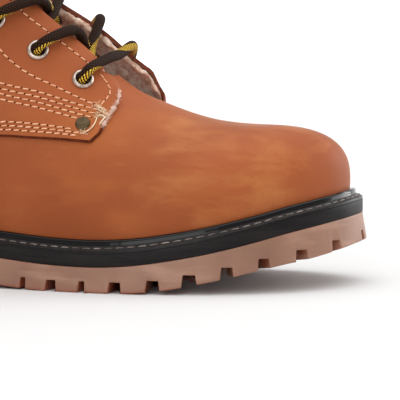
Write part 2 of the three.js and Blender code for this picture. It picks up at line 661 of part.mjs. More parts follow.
// A seat for a small round piece on the quarters' outer face, raised flap or not.
function seatOn(at, side, out, width) {
  const face = (a, o) => onUpper(a, side, o, outside).point;
  const alongIt = face(at + NEAR, out).sub(face(at - NEAR, out));
  const acrossIt = face(at, out + width / 2).sub(face(at, out - width / 2));
  const facing = acrossIt.cross(alongIt).multiplyScalar(side).normalize();
  const point = face(at, out);
  return { facing, point: point.addScaledVector(facing, heightWithin(point, facing, width)) };
}
const eyeletSeats = [-1, 1].map((side) =>
  eyeletSections(side).map((at) => seatOn(at, side, eyeletOut, eyeletWidth)),
);
const turnedTo = (facing, point) =>
  new THREE.Matrix4()
    .makeRotationFromQuaternion(new THREE.Quaternion().setFromUnitVectors(new THREE.Vector3(0, 1, 0), facing))
    .setPosition(point);

// A ring or disc turned on its own axis, which stands up along y.
function turned(profile, steps) {
  return new THREE.LatheGeometry(profile.map(([r, y]) => new THREE.Vector2(r, y)), steps);
}
function eyeletGeometry() {
  const [inner, flange, barrel] = [eyeletBore / 2, eyeletWidth / 2, eyeletBore / 2 + EYELET_WALL];
  return turned(
    [
      [inner, -eyeletBarrel],
      [barrel, -eyeletBarrel],
      [barrel, 0],
      [flange, 0],
      [flange - EYELET_RIM / 3, EYELET_FLANGE],
      [inner + EYELET_RIM / 3, EYELET_FLANGE],
      [inner, EYELET_FLANGE / 2],
      [inner, -eyeletBarrel],
    ],
    ROUND_SIDES,
  );
}
const holes = eyeletSeats.flat().map(({ point, facing }) => {
  const radius = eyeletBore / 2 + EYELET_WALL + CLEARANCE;
  const hole = new THREE.CylinderGeometry(radius, radius, eyeletBarrel * 4, ROUND_SIDES);
  return solidOf(hole.applyMatrix4(turnedTo(facing, point)));
});

const upper = vamp
  .add(quarters)
  .subtract(hollow)
  .subtract(holes.reduce((all, hole) => all.add(hole)));

// A solid wall that follows the sole's outline: levels from the lowest to the highest, each with its inset
// and its height as a function of x.
function walled(levels, count = OUTLINE_POINTS) {
  const loops = levels.map(({ inset, height }) =>
    outlineLoop(inset, count).map((p) => new THREE.Vector3(p.x, p.y, height(p.x))),
  );
  const triangles = [];
  for (let level = 0; level + 1 < levels.length; level += 1) {
    for (let i = 0; i < count; i += 1) {
      const j = (i + 1) % count;
      const [here, above] = [level * count, (level + 1) * count];
      triangles.push([here + i, here + j, above + j], [here + i, above + j, above + i]);
    }
  }
  const flat = (loop) => loop.map((p) => new THREE.Vector2(p.x, p.y));
  const top = (levels.length - 1) * count;
  triangles.push(...THREE.ShapeUtils.triangulateShape(flat(loops[0]), []).map(([a, b, c]) => [a, c, b]));
  const lid = THREE.ShapeUtils.triangulateShape(flat(loops[levels.length - 1]), []);
  triangles.push(...lid.map(([a, b, c]) => [top + a, top + b, top + c]));
  return solidFrom(loops.flat(), triangles);
}

// The space across the boot between two heights that follow x, from one share of the length to another.
const PAST_ENDS = { from: -0.02, to: 1.02 };
function between(bottom, top, { from, to } = PAST_ENDS, steps = PROFILE_STEPS) {
  const places = Array.from({ length: steps + 1 }, (_, i) => xAt(from + ((to - from) * i) / steps));
  const under = places.map((x) => [x, bottom(x)]);
  const over = places.map((x) => [x, top(x)]);
  return acrossBoot([...under, ...over.reverse()]);
}

// Midsole, and the insole inside the upper.
const MARGIN = 4; // how far a form is overrun before it is cut to its height
const belowFloor = () => -MARGIN;
const overSole = () => COLLAR_HEIGHT;
const INSOLE_ROOM = CLEARANCE * 4; // round the insole, where the wall turns in under it
const midsole = walled([
  { inset: 0, height: belowFloor },
  { inset: 0, height: overSole },
]).intersect(between((x) => outsoleTop(x) + CLEARANCE, midsoleTop));
const insoleInset = UPPER_INSET + LEATHER + INSOLE_ROOM;
const insole = walled([
  { inset: insoleInset, height: belowFloor },
  { inset: insoleInset, height: overSole },
]).intersect(between(seat, (x) => seat(x) + INSOLE));

// The welt's section: its wall, its sloped shoulder and its bead against the upper, as shares of the upper's
// inset from the midsole's edge and of the welt's height.
const WELT = [
  { inset: 0.05, height: 0 },
  { inset: 0.05, height: 0.19 },
  { inset: 0.49, height: 0.5 },
  { inset: 0.51, height: 0.75 },
  { inset: 0.62, height: 0.95 },
  { inset: 0.78, height: 1 },
  { inset: 1, height: 0.88 },
  { inset: 1.6, height: 0.8 },
  { inset: 1.6, height: 0 },
];
function weltRing() {
  const loops = WELT.map((row) =>
    outlineLoop(row.inset * UPPER_INSET, OUTLINE_POINTS).map(
      (p) => new THREE.Vector3(p.x, p.y, seat(p.x) + row.height * WELT_HEIGHT),
    ),
  );
  const triangles = [];
  WELT.forEach((_, k) => {
    const next = ((k + 1) % WELT.length) * OUTLINE_POINTS;
    for (let i = 0; i < OUTLINE_POINTS; i += 1) {
      const j = (i + 1) % OUTLINE_POINTS;
      const here = k * OUTLINE_POINTS;
      triangles.push([here + i, here + j, next + j], [here + i, next + j, next + i]);
    }
  });
  return solidFrom(loops.flat(), triangles);
}
// The quarters meet the welt only behind these shares of the length.
const QUARTER_END = { from: 0.39, to: 0.45 };
const HEEL_END = { from: 0.124, to: 0.22 }; // the heel's back
const WELT_AIR = { fore: 1.4, heel: 2 }; // between upper and welt, in clearances
const upperAndAir = lastForm((p) => {
  const behind = 1 - smooth(p.x, xAt(QUARTER_END.from), xAt(QUARTER_END.to));
  const heel = 1 - smooth(p.x, xAt(HEEL_END.from), xAt(HEEL_END.to));
  return CLEARANCE * (WELT_AIR.fore + (WELT_AIR.heel - WELT_AIR.fore) * heel) + QUARTER_LAYER * behind;
}, cutting);
const welt = weltRing().subtract(upperAndAir);

// The outsole: a flared body with a heel block, cut by lugs.
const HEEL_BREAST = { foot: 0.288, top: 0.302 }; // shares of the length
const HEEL_TOE_END = 0.02; // the bevel at the heel's back ends here
const FLARE_FOOT = 1.3; // of the flare, at the very bottom
const onHeel = (x) => x < xAt(HEEL_BREAST.foot);
const groundHeight = (x) => (onHeel(x) ? 0 : treadHeight(x));
const arch = Array.from({ length: PROFILE_STEPS }, (_, i) => {
  const share = HEEL_BREAST.top + ((PAST_ENDS.to - HEEL_BREAST.top) * i) / (PROFILE_STEPS - 1);
  return xAt(share);
});
const outsoleProfile = acrossBoot([
  [xAt(PAST_ENDS.from), HEEL_BEVEL],
  [xAt(HEEL_TOE_END), 0],
  [xAt(HEEL_BREAST.foot), 0],
  ...arch.map((x) => [x, treadHeight(x)]),
  [xAt(PAST_ENDS.to), COLLAR_HEIGHT],
  [xAt(PAST_ENDS.from), COLLAR_HEIGHT],
]).intersect(between(belowFloor, outsoleTop));
const outsoleBody = walled([
  { inset: -SOLE_FLARE * FLARE_FOOT, height: belowFloor },
  { inset: -SOLE_FLARE, height: (x) => groundHeight(x) + LUG_DEPTH / 4 },
  { inset: 0, height: (x) => outsoleTop(x) - LUG_DEPTH / 4 },
  { inset: 0, height: overSole },
]).intersect(outsoleProfile);

// Gaps between the side lugs: where they lie along the outline, and their widths as shares of the lug gap.
const SIDE_GAPS = [
  { along: 0.03, lateral: 0.9, medial: 0.9 },
  { along: 0.1, lateral: 0.9, medial: 0.9 },
  { along: 0.175, lateral: 0.9, medial: 0.9 },
  { along: 0.245, lateral: 0.9, medial: 0.9 },
  { along: 0.556, lateral: 0.45, medial: 0.45 },
  { along: 0.5985, lateral: 0.85, medial: 0.85 },
  { along: 0.645, lateral: 0.5, medial: 0.5 },
  { along: 0.6935, lateral: 0.95, medial: 0.95 },
  { along: 0.7465, lateral: 1, medial: 1 },
  { along: 0.7955, lateral: 1.05, medial: 1.05 },
  { along: 0.845, lateral: 0.95, medial: 0.95 },
  { along: 0.891, lateral: 0.9, medial: 0.9 },
  { along: 0.937, lateral: 1, medial: 1 },
  { along: 0.975, lateral: 0.9, medial: 0.95 },
];
const TIP_GAP = 0.9; // the one at the toe's tip
const GAP_FLANKS = { foot: 0.62, top: 0.42 }; // from a gap's middle, as shares of its width
const gapSection = (width) => [
  [-width * GAP_FLANKS.foot, -MARGIN],
  [width * GAP_FLANKS.foot, -MARGIN],
  [width * GAP_FLANKS.top, LUG_DEPTH],
  [-width * GAP_FLANKS.top, LUG_DEPTH],
];
const edge = outlineLoop(0, FINE_POINTS);
function gapAt(i, width) {
  const p = edge[i];
  const step = edge[(i + 1) % edge.length].clone().sub(edge[(i + edge.length - 1) % edge.length]).normalize();
  const tangent = new THREE.Vector3(step.x, step.y, 0);
  const up = new THREE.Vector3(0, 0, 1);
  const outward = tangent.clone().cross(up);
  const start = new THREE.Vector3(p.x, p.y, groundHeight(p.x)).addScaledVector(outward, -LUG_LENGTH);
  const placing = new THREE.Matrix4().makeBasis(tangent, up, outward).setPosition(start);
  return prism(gapSection(width), LUG_LENGTH + MARGIN, placing);
}
// The point of the edge, on one side of the boot, that is nearest to a place along it.
function edgeAt(along, sign) {
  const away = (i) => (sign * edge[i].y > 0 ? Math.abs(edge[i].x - xAt(along)) : SOLE_LENGTH);
  return edge.reduce((best, _, i) => (away(i) < away(best) ? i : best), 0);
}
const tip = edge.reduce((best, p, i) => (p.x > edge[best].x ? i : best), 0);
const sideGaps = SIDE_GAPS.flatMap(({ along, lateral, medial }) => [
  gapAt(edgeAt(along, -1), lateral * LUG_GAP),
  gapAt(edgeAt(along, 1), medial * LUG_GAP),
]);
sideGaps.push(gapAt(tip, TIP_GAP * LUG_GAP));

// The channel round the middle of the tread, and the gaps across the middle.
const ringWithin = (inset) =>
  walled(
    [
      { inset, height: () => -MARGIN * 2 },
      { inset, height: overSole },
    ],
    OUTLINE_POINTS / 2,
  );
const ring = ringWithin(LUG_LENGTH - CHANNEL / 2).subtract(ringWithin(LUG_LENGTH + CHANNEL / 2));
const HEEL_CHANNEL = { from: 0, to: 0.26 };
const FORE_CHANNEL = { from: 0.55, to: 1 };
const channelOver = (range, ground) => {
  const space = between((x) => ground(x) - MARGIN, (x) => ground(x) + LUG_DEPTH, range, CHANNEL_STEPS);
  return ring.intersect(space);
};
const channels = [channelOver(HEEL_CHANNEL, () => 0), channelOver(FORE_CHANNEL, treadHeight)];
const MIDDLE_GAPS = [0.165, 0.622, 0.67, 0.72, 0.77, 0.82, 0.868];
const MIDDLE_WIDTH = 0.85; // of the lug gap
const middleGaps = MIDDLE_GAPS.map((along) => {
  const [x, ground] = [xAt(along), groundHeight(xAt(along))];
  const outline = gapSection(LUG_GAP * MIDDLE_WIDTH).map(([across, up]) => [x + across, ground + up]);
  const reachTo = (column) => curve(OUTLINE, "along", column)(along) * HALF_BALL - LUG_LENGTH;
  return acrossBoot(outline, -reachTo("lateral"), reachTo("medial"));
});
const gaps = [...sideGaps, ...channels, ...middleGaps];
const outsole = gaps.reduce((body, gap) => body.subtract(gap), outsoleBody);

// The tongue: a sheet that starts under the vamp, lies under the lace and stands out over the collar.
const tongueDepth = LEATHER + TONGUE_ROOM; // below the upper's outer form
const TONGUE = [
  { at: 3.4, width: 0.3 },
  { at: 3.8, width: 0.36 },
  { at: 4.3, width: 0.42 },
  { at: 4.8, width: 0.48 },
  { at: 5.3, width: 0.52 },
  { at: 6, width: 0.55 },
  { at: 7, width: 0.57 },
  { at: 10, width: 0.57 },
  { at: 11, width: 0.57 },
  { at: 12, width: 0.57 },
  { at: 13, width: 0.58 },
  { at: 14, width: 0.59 },
  { at: 15, width: 0.6 },
  { at: 16, width: 0.6 },
  { at: 16.9, width: 0.6 },
];
const TONGUE_SINKS = { from: 4.2, to: 5.6 }; // the sections between which it sinks to its depth
const TONGUE_END = [
  { over: 0.55, width: 0.98 },
  { over: 1, width: 0.86 },
];
function tongueSolid() {
  const sink = (at) => {
    const deep = smooth(at, TONGUE_SINKS.from, TONGUE_SINKS.to);
    const shallow = LEATHER + CLEARANCE * 2;
    return shallow + (tongueDepth - shallow) * deep;
  };
  const rowPoints = (at, width, offset) => {
    const half = [];
    for (let c = -TONGUE_COLUMNS; c <= TONGUE_COLUMNS; c += 1) {
      const side = c < 0 ? -1 : 1;
      const out = (Math.abs(c) / TONGUE_COLUMNS) * width * HALF_BALL;
      half.push(onUpper(at, side, out, () => offset).point);
    }
    return half;
  };
  const rows = TONGUE.map(({ at, width }) => ({
    outer: rowPoints(at, width, -sink(at)),
    inner: rowPoints(at, width, -sink(at) - TONGUE_THICKNESS),
  }));
  // More rows carry it over the collar, along the way that it already runs.
  const [before, end] = rows.slice(-2);
  const way = end.outer[TONGUE_COLUMNS].clone().sub(before.outer[TONGUE_COLUMNS]).normalize();
  TONGUE_END.forEach(({ over, width }) => {
    const moved = (points) =>
      points.map((p) => p.clone().addScaledVector(way, over * TONGUE_OVER).setY(p.y * width));
    rows.push({ outer: moved(end.outer), inner: moved(end.inner) });
  });
  const across = TONGUE_COLUMNS * 2 + 1;
  const points = rows.flatMap(({ outer, inner }) => [...outer, ...inner.reverse()]);
  const round = across * 2;
  const triangles = [];
  for (let r = 0; r + 1 < rows.length; r += 1) {
    for (let c = 0; c < round; c += 1) {
      const [a, b] = [r * round + c, r * round + ((c + 1) % round)];
      triangles.push([a, b, b + round], [a, b + round, a + round]);
    }
  }
  for (const [row, flip] of [[0, false], [rows.length - 1, true]]) {
    for (let c = 0; c + 1 < across; c += 1) {
      const [a, b] = [row * round + c, row * round + c + 1];
      const [d, e] = [row * round + round - 1 - c, row * round + round - 2 - c];
      const quad = [[a, d, b], [b, d, e]];
      triangles.push(...(flip ? quad.map(([x, y, z]) => [x, z, y]) : quad));
    }
  }
  return solidFrom(points, triangles);
}
const tongue = tongueSolid();

// Rivets hold the quarters' lower corners to the vamp.
const RIVET_ALONG = 0.6307; // share of the length
const RIVET_OUT = { lateral: 0.64, medial: 0.58 }; // shares of half the ball width
const rivetSeats = [-1, 1].map((side) => {
  const out = (side < 0 ? RIVET_OUT.lateral : RIVET_OUT.medial) * HALF_BALL;
  return seatOn(sectionThrough(xAt(RIVET_ALONG), side, out), side, out, RIVET_WIDTH);
});
const rivetGeometry = () =>
  turned(
    [
      [0, 0],
      [RIVET_WIDTH / 2, 0],
      [RIVET_WIDTH / 2, RIVET_HEIGHT * 0.45],
      [RIVET_WIDTH * 0.4, RIVET_HEIGHT * 0.85],
      [0, RIVET_HEIGHT],
    ],
    ROUND_SIDES,
  );

// The lace: a bar over the lowest pair, and crossings that rise from each higher pair through its eyelets
// and run down to the facing edge opposite.
const BAR_SAG = 0.15; // the bar's middle hangs by this share of the lace's width
const CROSSING_WAY = { edge: 0.1, middle: 0.45, end: 0.75 }; // shares of the way down to the pair below
const CROSSED = [0.15, 0.65]; // how high each lace lies over the tongue at the middle, in lace widths
const CROSSING_STOP = 0.85; // lace widths short of the facing's edge
function laceAlong(points) {
  const section = Array.from({ length: LACE_SIDES }, (_, i) => {
    const turn = (i / LACE_SIDES) * Math.PI * 2;
    return new THREE.Vector2((Math.cos(turn) * LACE_WIDTH) / 2, (Math.sin(turn) * LACE_WIDTH) / 2);
  });
  const extrudePath = new THREE.CatmullRomCurve3(points, false, "centripetal");
  const steps = Math.round(points.length * LACE_STEPS);
  return solidOf(new THREE.ExtrudeGeometry(new THREE.Shape(section), { steps, extrudePath }));
}
// Out of an eyelet's bore and over its rim, towards a place.
function outOfEyelet({ point, facing }, toward) {
  const way = toward.clone().sub(point);
  way.addScaledVector(facing, -way.dot(facing)).normalize();
  const overRim = EYELET_FLANGE + CLEARANCE + LACE_WIDTH;
  return [
    point.clone().addScaledVector(facing, -EYELET_FLANGE),
    point.clone().addScaledVector(facing, EYELET_FLANGE + LACE_WIDTH * 0.4),
    point.clone().addScaledVector(facing, overRim).addScaledVector(way, LACE_WIDTH * 0.65),
  ];
}
const sectionOfPair = (pair) => sectionThrough(eyeletSeats[0][pair].point.x, -1, eyeletOut);
function overEdge(at, side) {
  let [low, high] = [0, facingEdge];
  for (let i = 0; i < HALVING_COUNT; i += 1) {
    const middle = (low + high) / 2;
    if (Math.abs(onUpper(at, side, middle, outside).point.y) < facingEdge) low = middle;
    else high = middle;
  }
  const { point, facing } = seatOn(at, side, low, LACE_WIDTH);
  return point.addScaledVector(facing, LACE_WIDTH / 2 + CLEARANCE * 3);
}
function lowestBar() {
  const at = sectionOfPair(0);
  const [lateral, medial] = eyeletSeats.map((seats) => seats[0]);
  const [from, to] = [overEdge(at, -1), overEdge(at, 1)];
  const middle = from.clone().lerp(to, 0.5);
  middle.z -= LACE_WIDTH * BAR_SAG;
  return laceAlong([...outOfEyelet(lateral, from), from, middle, to, ...outOfEyelet(medial, to).reverse()]);
}
// The two laces of a crossing are one piece. Each runs from its eyelet over the facing's edge, across
// the tongue and under the opposite edge.
function crossing(pair) {
  const [lowAt, highAt] = [sectionOfPair(pair - 1), sectionOfPair(pair)];
  const onTongue = -tongueDepth + CLEARANCE * 2 + LACE_WIDTH / 2;
  const sectionAcross = (share) => highAt + (lowAt - highAt) * share;
  return [-1, 1]
    .map((side, which) => {
      const stacked = onTongue + CROSSED[which] * LACE_WIDTH;
      const over = overEdge(sectionAcross(CROSSING_WAY.edge), side);
      const middle = onUpper(sectionAcross(CROSSING_WAY.middle), side, 0, () => stacked).point;
      const endOut = facingEdge - LACE_WIDTH * CROSSING_STOP;
      const end = onUpper(sectionAcross(CROSSING_WAY.end), -side, endOut, () => onTongue).point;
      return laceAlong([...outOfEyelet(eyeletSeats[which][pair], over), over, middle, end]);
    })
    .reduce((both, one) => both.add(one));
}

const looks = {
  nubuck: new THREE.MeshStandardMaterial({ color: 0xa86141, roughness: 0.75, metalness: 0 }),
  gumRubber: new THREE.MeshStandardMaterial({ color: 0x957060, roughness: 0.6, metalness: 0 }),
  blackRubber: new THREE.MeshStandardMaterial({ color: 0x2b2827, roughness: 0.5, metalness: 0 }),
  blackWelt: new THREE.MeshStandardMaterial({ color: 0x2a2423, roughness: 0.3, metalness: 0 }),
  felt: new THREE.MeshStandardMaterial({ color: 0x956e56, roughness: 0.95, metalness: 0 }),
  pewter: new THREE.MeshStandardMaterial({ color: 0x977f71, roughness: 0.4, metalness: 1 }),
  oldBrass: new THREE.MeshStandardMaterial({ color: 0x6e533d, roughness: 0.5, metalness: 1 }),
  lace: new THREE.MeshStandardMaterial({ color: 0x2b211c, roughness: 0.8, metalness: 0 }),
};

const boot = new THREE.Group();
boot.add(meshOf("outsole", outsole, looks.gumRubber));
boot.add(meshOf("midsole", midsole, looks.blackRubber));
boot.add(meshOf("welt", welt, looks.blackWelt));
boot.add(meshOf("insole", insole, looks.felt));
boot.add(meshOf("upper", upper, looks.nubuck));
boot.add(meshOf("tongue", tongue, looks.nubuck));

// Pieces of metal are placed on their seats.
function seated(name, geometry, material, facing, point) {
  const piece = meshOf(name, solidOf(geometry), material);
  piece.position.copy(point);
  piece.quaternion.setFromUnitVectors(new THREE.Vector3(0, 1, 0), facing);
  return piece;
}
["lateral", "medial"].forEach((sideName, which) => {
  eyeletSeats[which].forEach(({ point, facing }, pair) => {
    const on = point.clone().addScaledVector(facing, CLEARANCE);
    boot.add(seated(`eyelet_${sideName}_${pair + 1}`, eyeletGeometry(), looks.pewter, facing, on));
  });
  const { point, facing } = rivetSeats[which];
  const on = point.clone().addScaledVector(facing, CLEARANCE);
  boot.add(seated(`rivet_${sideName}`, rivetGeometry(), looks.oldBrass, facing, on));
});
boot.add(meshOf("lace_bar", lowestBar(), looks.lace));
for (let pair = 1; pair < EYELET_PAIRS; pair += 1) {
  boot.add(meshOf(`lace_crossing_${pair}`, crossing(pair), looks.lace));
}

export default boot;
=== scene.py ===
"""A lace-up winter boot for the right foot, dressed over its CAD model.

Lengths are in millimetres until a mesh is made. X runs to the toe, Y to the inner side of the foot, Z up.
"""

import math

import bmesh
import bpy
import numpy as np
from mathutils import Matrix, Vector
from mathutils.bvhtree import BVHTree


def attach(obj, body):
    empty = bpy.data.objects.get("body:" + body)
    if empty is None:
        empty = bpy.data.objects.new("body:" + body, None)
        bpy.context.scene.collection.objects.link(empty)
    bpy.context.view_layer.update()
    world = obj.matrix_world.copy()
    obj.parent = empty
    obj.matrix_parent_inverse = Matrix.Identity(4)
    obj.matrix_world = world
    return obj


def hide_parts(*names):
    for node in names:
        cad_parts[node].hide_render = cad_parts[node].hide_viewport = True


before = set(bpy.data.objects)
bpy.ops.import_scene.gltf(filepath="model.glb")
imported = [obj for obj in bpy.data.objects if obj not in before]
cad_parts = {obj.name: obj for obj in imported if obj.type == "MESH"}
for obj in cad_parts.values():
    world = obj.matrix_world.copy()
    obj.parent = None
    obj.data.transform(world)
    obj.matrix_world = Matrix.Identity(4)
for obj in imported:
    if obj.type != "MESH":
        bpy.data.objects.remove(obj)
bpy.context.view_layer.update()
MM = 0.001

# The camera. A long lens from the boot's outer side, a little in front of it and a little above the floor.
# It looks at the outsole's wall behind the toe.
CAMERA_TURN = math.radians(14)
CAMERA_RISE = math.radians(5)
CAMERA_AWAY = 1400
PIXELS_PER_MM = 2.3
FRAME_PIXELS = 400
LOOKED_AT = Vector((197.5, 0, 35.5))
SENSOR_WIDTH = 36
to_camera = Vector((
    math.sin(CAMERA_TURN) * math.cos(CAMERA_RISE),
    -math.cos(CAMERA_TURN) * math.cos(CAMERA_RISE),
    math.sin(CAMERA_RISE),
))


def put_in_scene(name, data):
    thing = bpy.data.objects.new(name, data)
    bpy.context.scene.collection.objects.link(thing)
    return thing


lens = bpy.data.cameras.new("camera")
lens.sensor_width = SENSOR_WIDTH
lens.lens = PIXELS_PER_MM * CAMERA_AWAY * SENSOR_WIDTH / FRAME_PIXELS
camera = put_in_scene("camera", lens)
camera.location = (LOOKED_AT + to_camera * CAMERA_AWAY) * MM
camera.rotation_euler = to_camera.to_track_quat("Z", "Y").to_euler()
bpy.context.scene.camera = camera

# The outsole. One moulding of amber-brown gum rubber with a heel block and deep lugs, glued under the
# midsole. Its wall flares a little to the tread, its edges are slightly rounded, and the toe springs off
# the floor.
SOLE_LENGTH = 306
HALF_BALL = 55
HEEL_SETBACK = 38
OUTSOLE_EDGE = 11
HEEL_LIFT = 13.5
TOE_SPRING = 19
SOLE_FLARE = 1.6
HEEL_BEVEL = 2.2
LUG_DEPTH = 4.7
LUG_GAP = 5.8
LUG_LENGTH = 21
CHANNEL = 4.5
OUTSOLE_ROUNDING = 0.45
MARGIN = 4
TALL = 200
CLEAR_OF_BOOT = 110
OUTLINE_STEPS = 1440
OUTLINE = {
    "along": [0.018, 0.055, 0.12, 0.2, 0.3, 0.4, 0.5, 0.6, 0.68, 0.75, 0.82, 0.88, 0.93, 0.968, 0.987],
    "lateral": [0.33, 0.57, 0.72, 0.755, 0.74, 0.745, 0.82, 0.93, 0.99, 0.985, 0.905, 0.765, 0.575, 0.345,
                0.155],
    "medial": [0.33, 0.56, 0.7, 0.73, 0.68, 0.62, 0.66, 0.81, 0.95, 1.01, 0.99, 0.915, 0.79, 0.62, 0.455],
}
TOE_POINT = {"along": 0.996, "medial": 0.17}
TREAD = {
    "along": [0.3072, 0.3856, 0.4608, 0.5327, 0.585, 0.6863, 0.7255, 0.7647, 0.807, 0.846, 0.882, 0.918,
              0.951, 0.974, 1],
    "arch": [0.7, 0.46, 0.25, 0.08, 0, 0, 0, 0, 0, 0, 0, 0, 0, 0, 0],
    "toe": [0, 0, 0, 0, 0, 0, 0.026, 0.1, 0.23, 0.36, 0.5, 0.637, 0.75, 0.853, 1],
}
FOOTBED = {
    "along": [0, 0.12, 0.22, 0.3072, 0.3856, 0.4608, 0.5327, 0.6, 0.68, 0.7255, 0.7647, 0.807, 0.846,
              0.882, 0.918, 0.951, 0.974, 1],
    "lift": [1.04, 1, 0.9, 0.71, 0.49, 0.28, 0.11, 0, 0, 0, 0, 0, 0, 0, 0, 0, 0, 0],
    "toe": [0, 0, 0, 0, 0, 0, 0, 0, 0, 0.063, 0.158, 0.28, 0.42, 0.57, 0.735, 0.865, 0.955, 1.058],
}
HEEL_BREAST = {"foot": 0.288, "top": 0.302}
PAST_ENDS = (-0.02, 1.02)
HEEL_SLOPE_END = 0.02
CHANNEL_ENDS = {"heel": (0, 0.26), "fore": (0.55, 1)}
SIDE_GAPS = {
    "along": [0.03, 0.1, 0.175, 0.245, 0.556, 0.5985, 0.645, 0.6935, 0.7465, 0.7955, 0.845, 0.891, 0.937,
              0.975],
    "width": [0.9, 0.9, 0.9, 0.9, 0.45, 0.85, 0.5, 0.95, 1, 1.05, 0.95, 0.9, 1, 0.9],
}
TIP_GAP = 0.9
MIDDLE_GAPS = [0.165, 0.622, 0.67, 0.72, 0.77, 0.82, 0.868]
MIDDLE_WIDTH = 0.85
GAP_FLANKS = {"foot": 0.62, "top": 0.42}


def x_at(share):
    return np.asarray(share, float) * SOLE_LENGTH - HEEL_SETBACK


def share_at(x):
    return (np.asarray(x, float) + HEEL_SETBACK) / SOLE_LENGTH


def unit(ways):
    """A way, or a row of ways, made one long."""
    return ways / np.linalg.norm(ways, axis=-1, keepdims=True)


def distance_along(line):
    return np.concatenate([[0], np.cumsum(np.linalg.norm(np.diff(line, axis=0), axis=1))])


def curve(table, key, column):
    """A smooth curve through two columns of a table."""
    t = np.array(table[key], float)
    v = np.array(table[column], float)
    run = np.diff(t)
    rise = np.diff(v) / run
    slope = np.empty(len(t))
    slope[0], slope[-1] = rise[0], rise[-1]
    slope[1:-1] = (rise[:-1] * run[1:] + rise[1:] * run[:-1]) / (run[:-1] + run[1:])

    def at(where):
        where = np.clip(where, t[0], t[-1])
        i = np.clip(np.searchsorted(t, where, side="right") - 1, 0, len(t) - 2)
        span = run[i]
        u = (where - t[i]) / span
        return (
            (1 + 2 * u) * (1 - u) ** 2 * v[i]
            + u * (1 - u) ** 2 * span * slope[i]
            + (3 - 2 * u) * u**2 * v[i + 1]
            + (u - 1) * u**2 * span * slope[i + 1]
        )

    return at


def outline_loop(inset, count):
    """The sole's outline moved in by an inset, from the heel's back round the outer side."""
    along = np.array(OUTLINE["along"])
    x = np.concatenate([[0], along, [TOE_POINT["along"]], along[::-1]])
    y = np.concatenate([[0], -np.array(OUTLINE["lateral"]), [TOE_POINT["medial"]], OUTLINE["medial"][::-1]])
    corners = np.stack([x_at(x), y * HALF_BALL], axis=1)
    around = np.concatenate([corners[-3:], corners, corners[:3]])
    travelled = distance_along(around)
    table = {"at": travelled, "x": around[:, 0], "y": around[:, 1]}
    start, end = travelled[3], travelled[3 + len(corners)]
    at = start + (end - start) * np.arange(count) / count
    loop = np.stack([curve(table, "at", "x")(at), curve(table, "at", "y")(at)], axis=1)
    along_it = unit(np.roll(loop, -1, axis=0) - np.roll(loop, 1, axis=0))
    return loop + inset * np.stack([-along_it[:, 1], along_it[:, 0]], axis=1)


arch_of_tread, toe_of_tread = curve(TREAD, "along", "arch"), curve(TREAD, "along", "toe")
lift_of_bed, toe_of_bed = curve(FOOTBED, "along", "lift"), curve(FOOTBED, "along", "toe")


def tread_height(x):
    share = share_at(x)
    return np.maximum(0, HEEL_LIFT * arch_of_tread(share) + TOE_SPRING * toe_of_tread(share))


def outsole_top(x):
    share = share_at(x)
    return OUTSOLE_EDGE + HEEL_LIFT * lift_of_bed(share) + TOE_SPRING * toe_of_bed(share)


def ground_height(x):
    return np.where(x < x_at(HEEL_BREAST["foot"]), 0, tread_height(x))


def smooth_below(mesh, degrees):
    """Shades a mesh smooth but for the edges that turn by more than an angle."""
    mesh.shade_smooth()
    mesh.set_sharp_from_angle(angle=math.radians(degrees))


def mesh_object(name, points, faces, smooth_angle=None):
    """A mesh from millimetre points, with its doubled points merged and its faces turned out."""
    mesh = bpy.data.meshes.new(name)
    corners = [tuple(point) for point in np.asarray(points) * MM]
    mesh.from_pydata(corners, [], [tuple(int(i) for i in face) for face in faces])
    work = bmesh.new()
    work.from_mesh(mesh)
    bmesh.ops.remove_doubles(work, verts=work.verts, dist=2e-6)
    bmesh.ops.recalc_face_normals(work, faces=work.faces)
    work.to_mesh(mesh)
    work.free()
    if smooth_angle is not None:
        smooth_below(mesh, smooth_angle)
    return put_in_scene(name, mesh)


def ladder(loop_count, ring, closed=True):
    """Quads between loops of points that lie one after the other, each ring points long."""
    quads = []
    for k in range(loop_count - 1):
        for i in range(ring if closed else ring - 1):
            j = (i + 1) % ring
            quads.append((k * ring + i, k * ring + j, (k + 1) * ring + j, (k + 1) * ring + i))
    return quads


def end_faces(last, ring, first=0):
    """The two faces that close a ladder, on its first loop of points and on its last."""
    return [tuple(range(first, first + ring))[::-1], tuple(range(last, last + ring))]


def walled(name, levels, count=300):
    """A closed solid that follows the sole's outline, from insets and their heights, which depend on x."""
    loops = []
    for inset, height in levels:
        loop = outline_loop(inset, count)
        loops.append(np.column_stack([loop, np.broadcast_to(height(loop[:, 0]), count)]))
    faces = ladder(len(levels), count) + end_faces((len(levels) - 1) * count, count)
    return mesh_object(name, np.concatenate(loops), faces)


def prism(name, outline, depth, origin, across, up, along):
    """A straight prism: an outline on a plane, with its depth along the plane's normal."""
    outline = np.asarray(outline, float)
    base = np.asarray(origin, float) + outline[:, :1] * np.asarray(across) + outline[:, 1:] * np.asarray(up)
    count = len(outline)
    points = np.concatenate([base, base + np.asarray(along) * depth])
    return mesh_object(name, points, ladder(2, count) + end_faces(count, count))


def across_boot(name, outline, low=-CLEAR_OF_BOOT, high=CLEAR_OF_BOOT):
    return prism(name, outline, high - low, (0, low, 0), (1, 0, 0), (0, 0, 1), (0, 1, 0))


def between(name, bottom, top, ends=PAST_ENDS, steps=120):
    """The space across the boot between two heights."""
    x = x_at(ends[0] + (ends[1] - ends[0]) * np.arange(steps + 1) / steps)
    under = np.column_stack([x, np.broadcast_to(bottom(x), len(x))])
    over = np.column_stack([x, np.broadcast_to(top(x), len(x))])
    return across_boot(name, np.concatenate([under, over[::-1]]))


def bake(thing):
    """Turns an object's modifiers into its own mesh."""
    shaped = bpy.data.meshes.new_from_object(thing.evaluated_get(bpy.context.evaluated_depsgraph_get()))
    thing.modifiers.clear()
    old = thing.data
    thing.data = shaped
    bpy.data.meshes.remove(old)


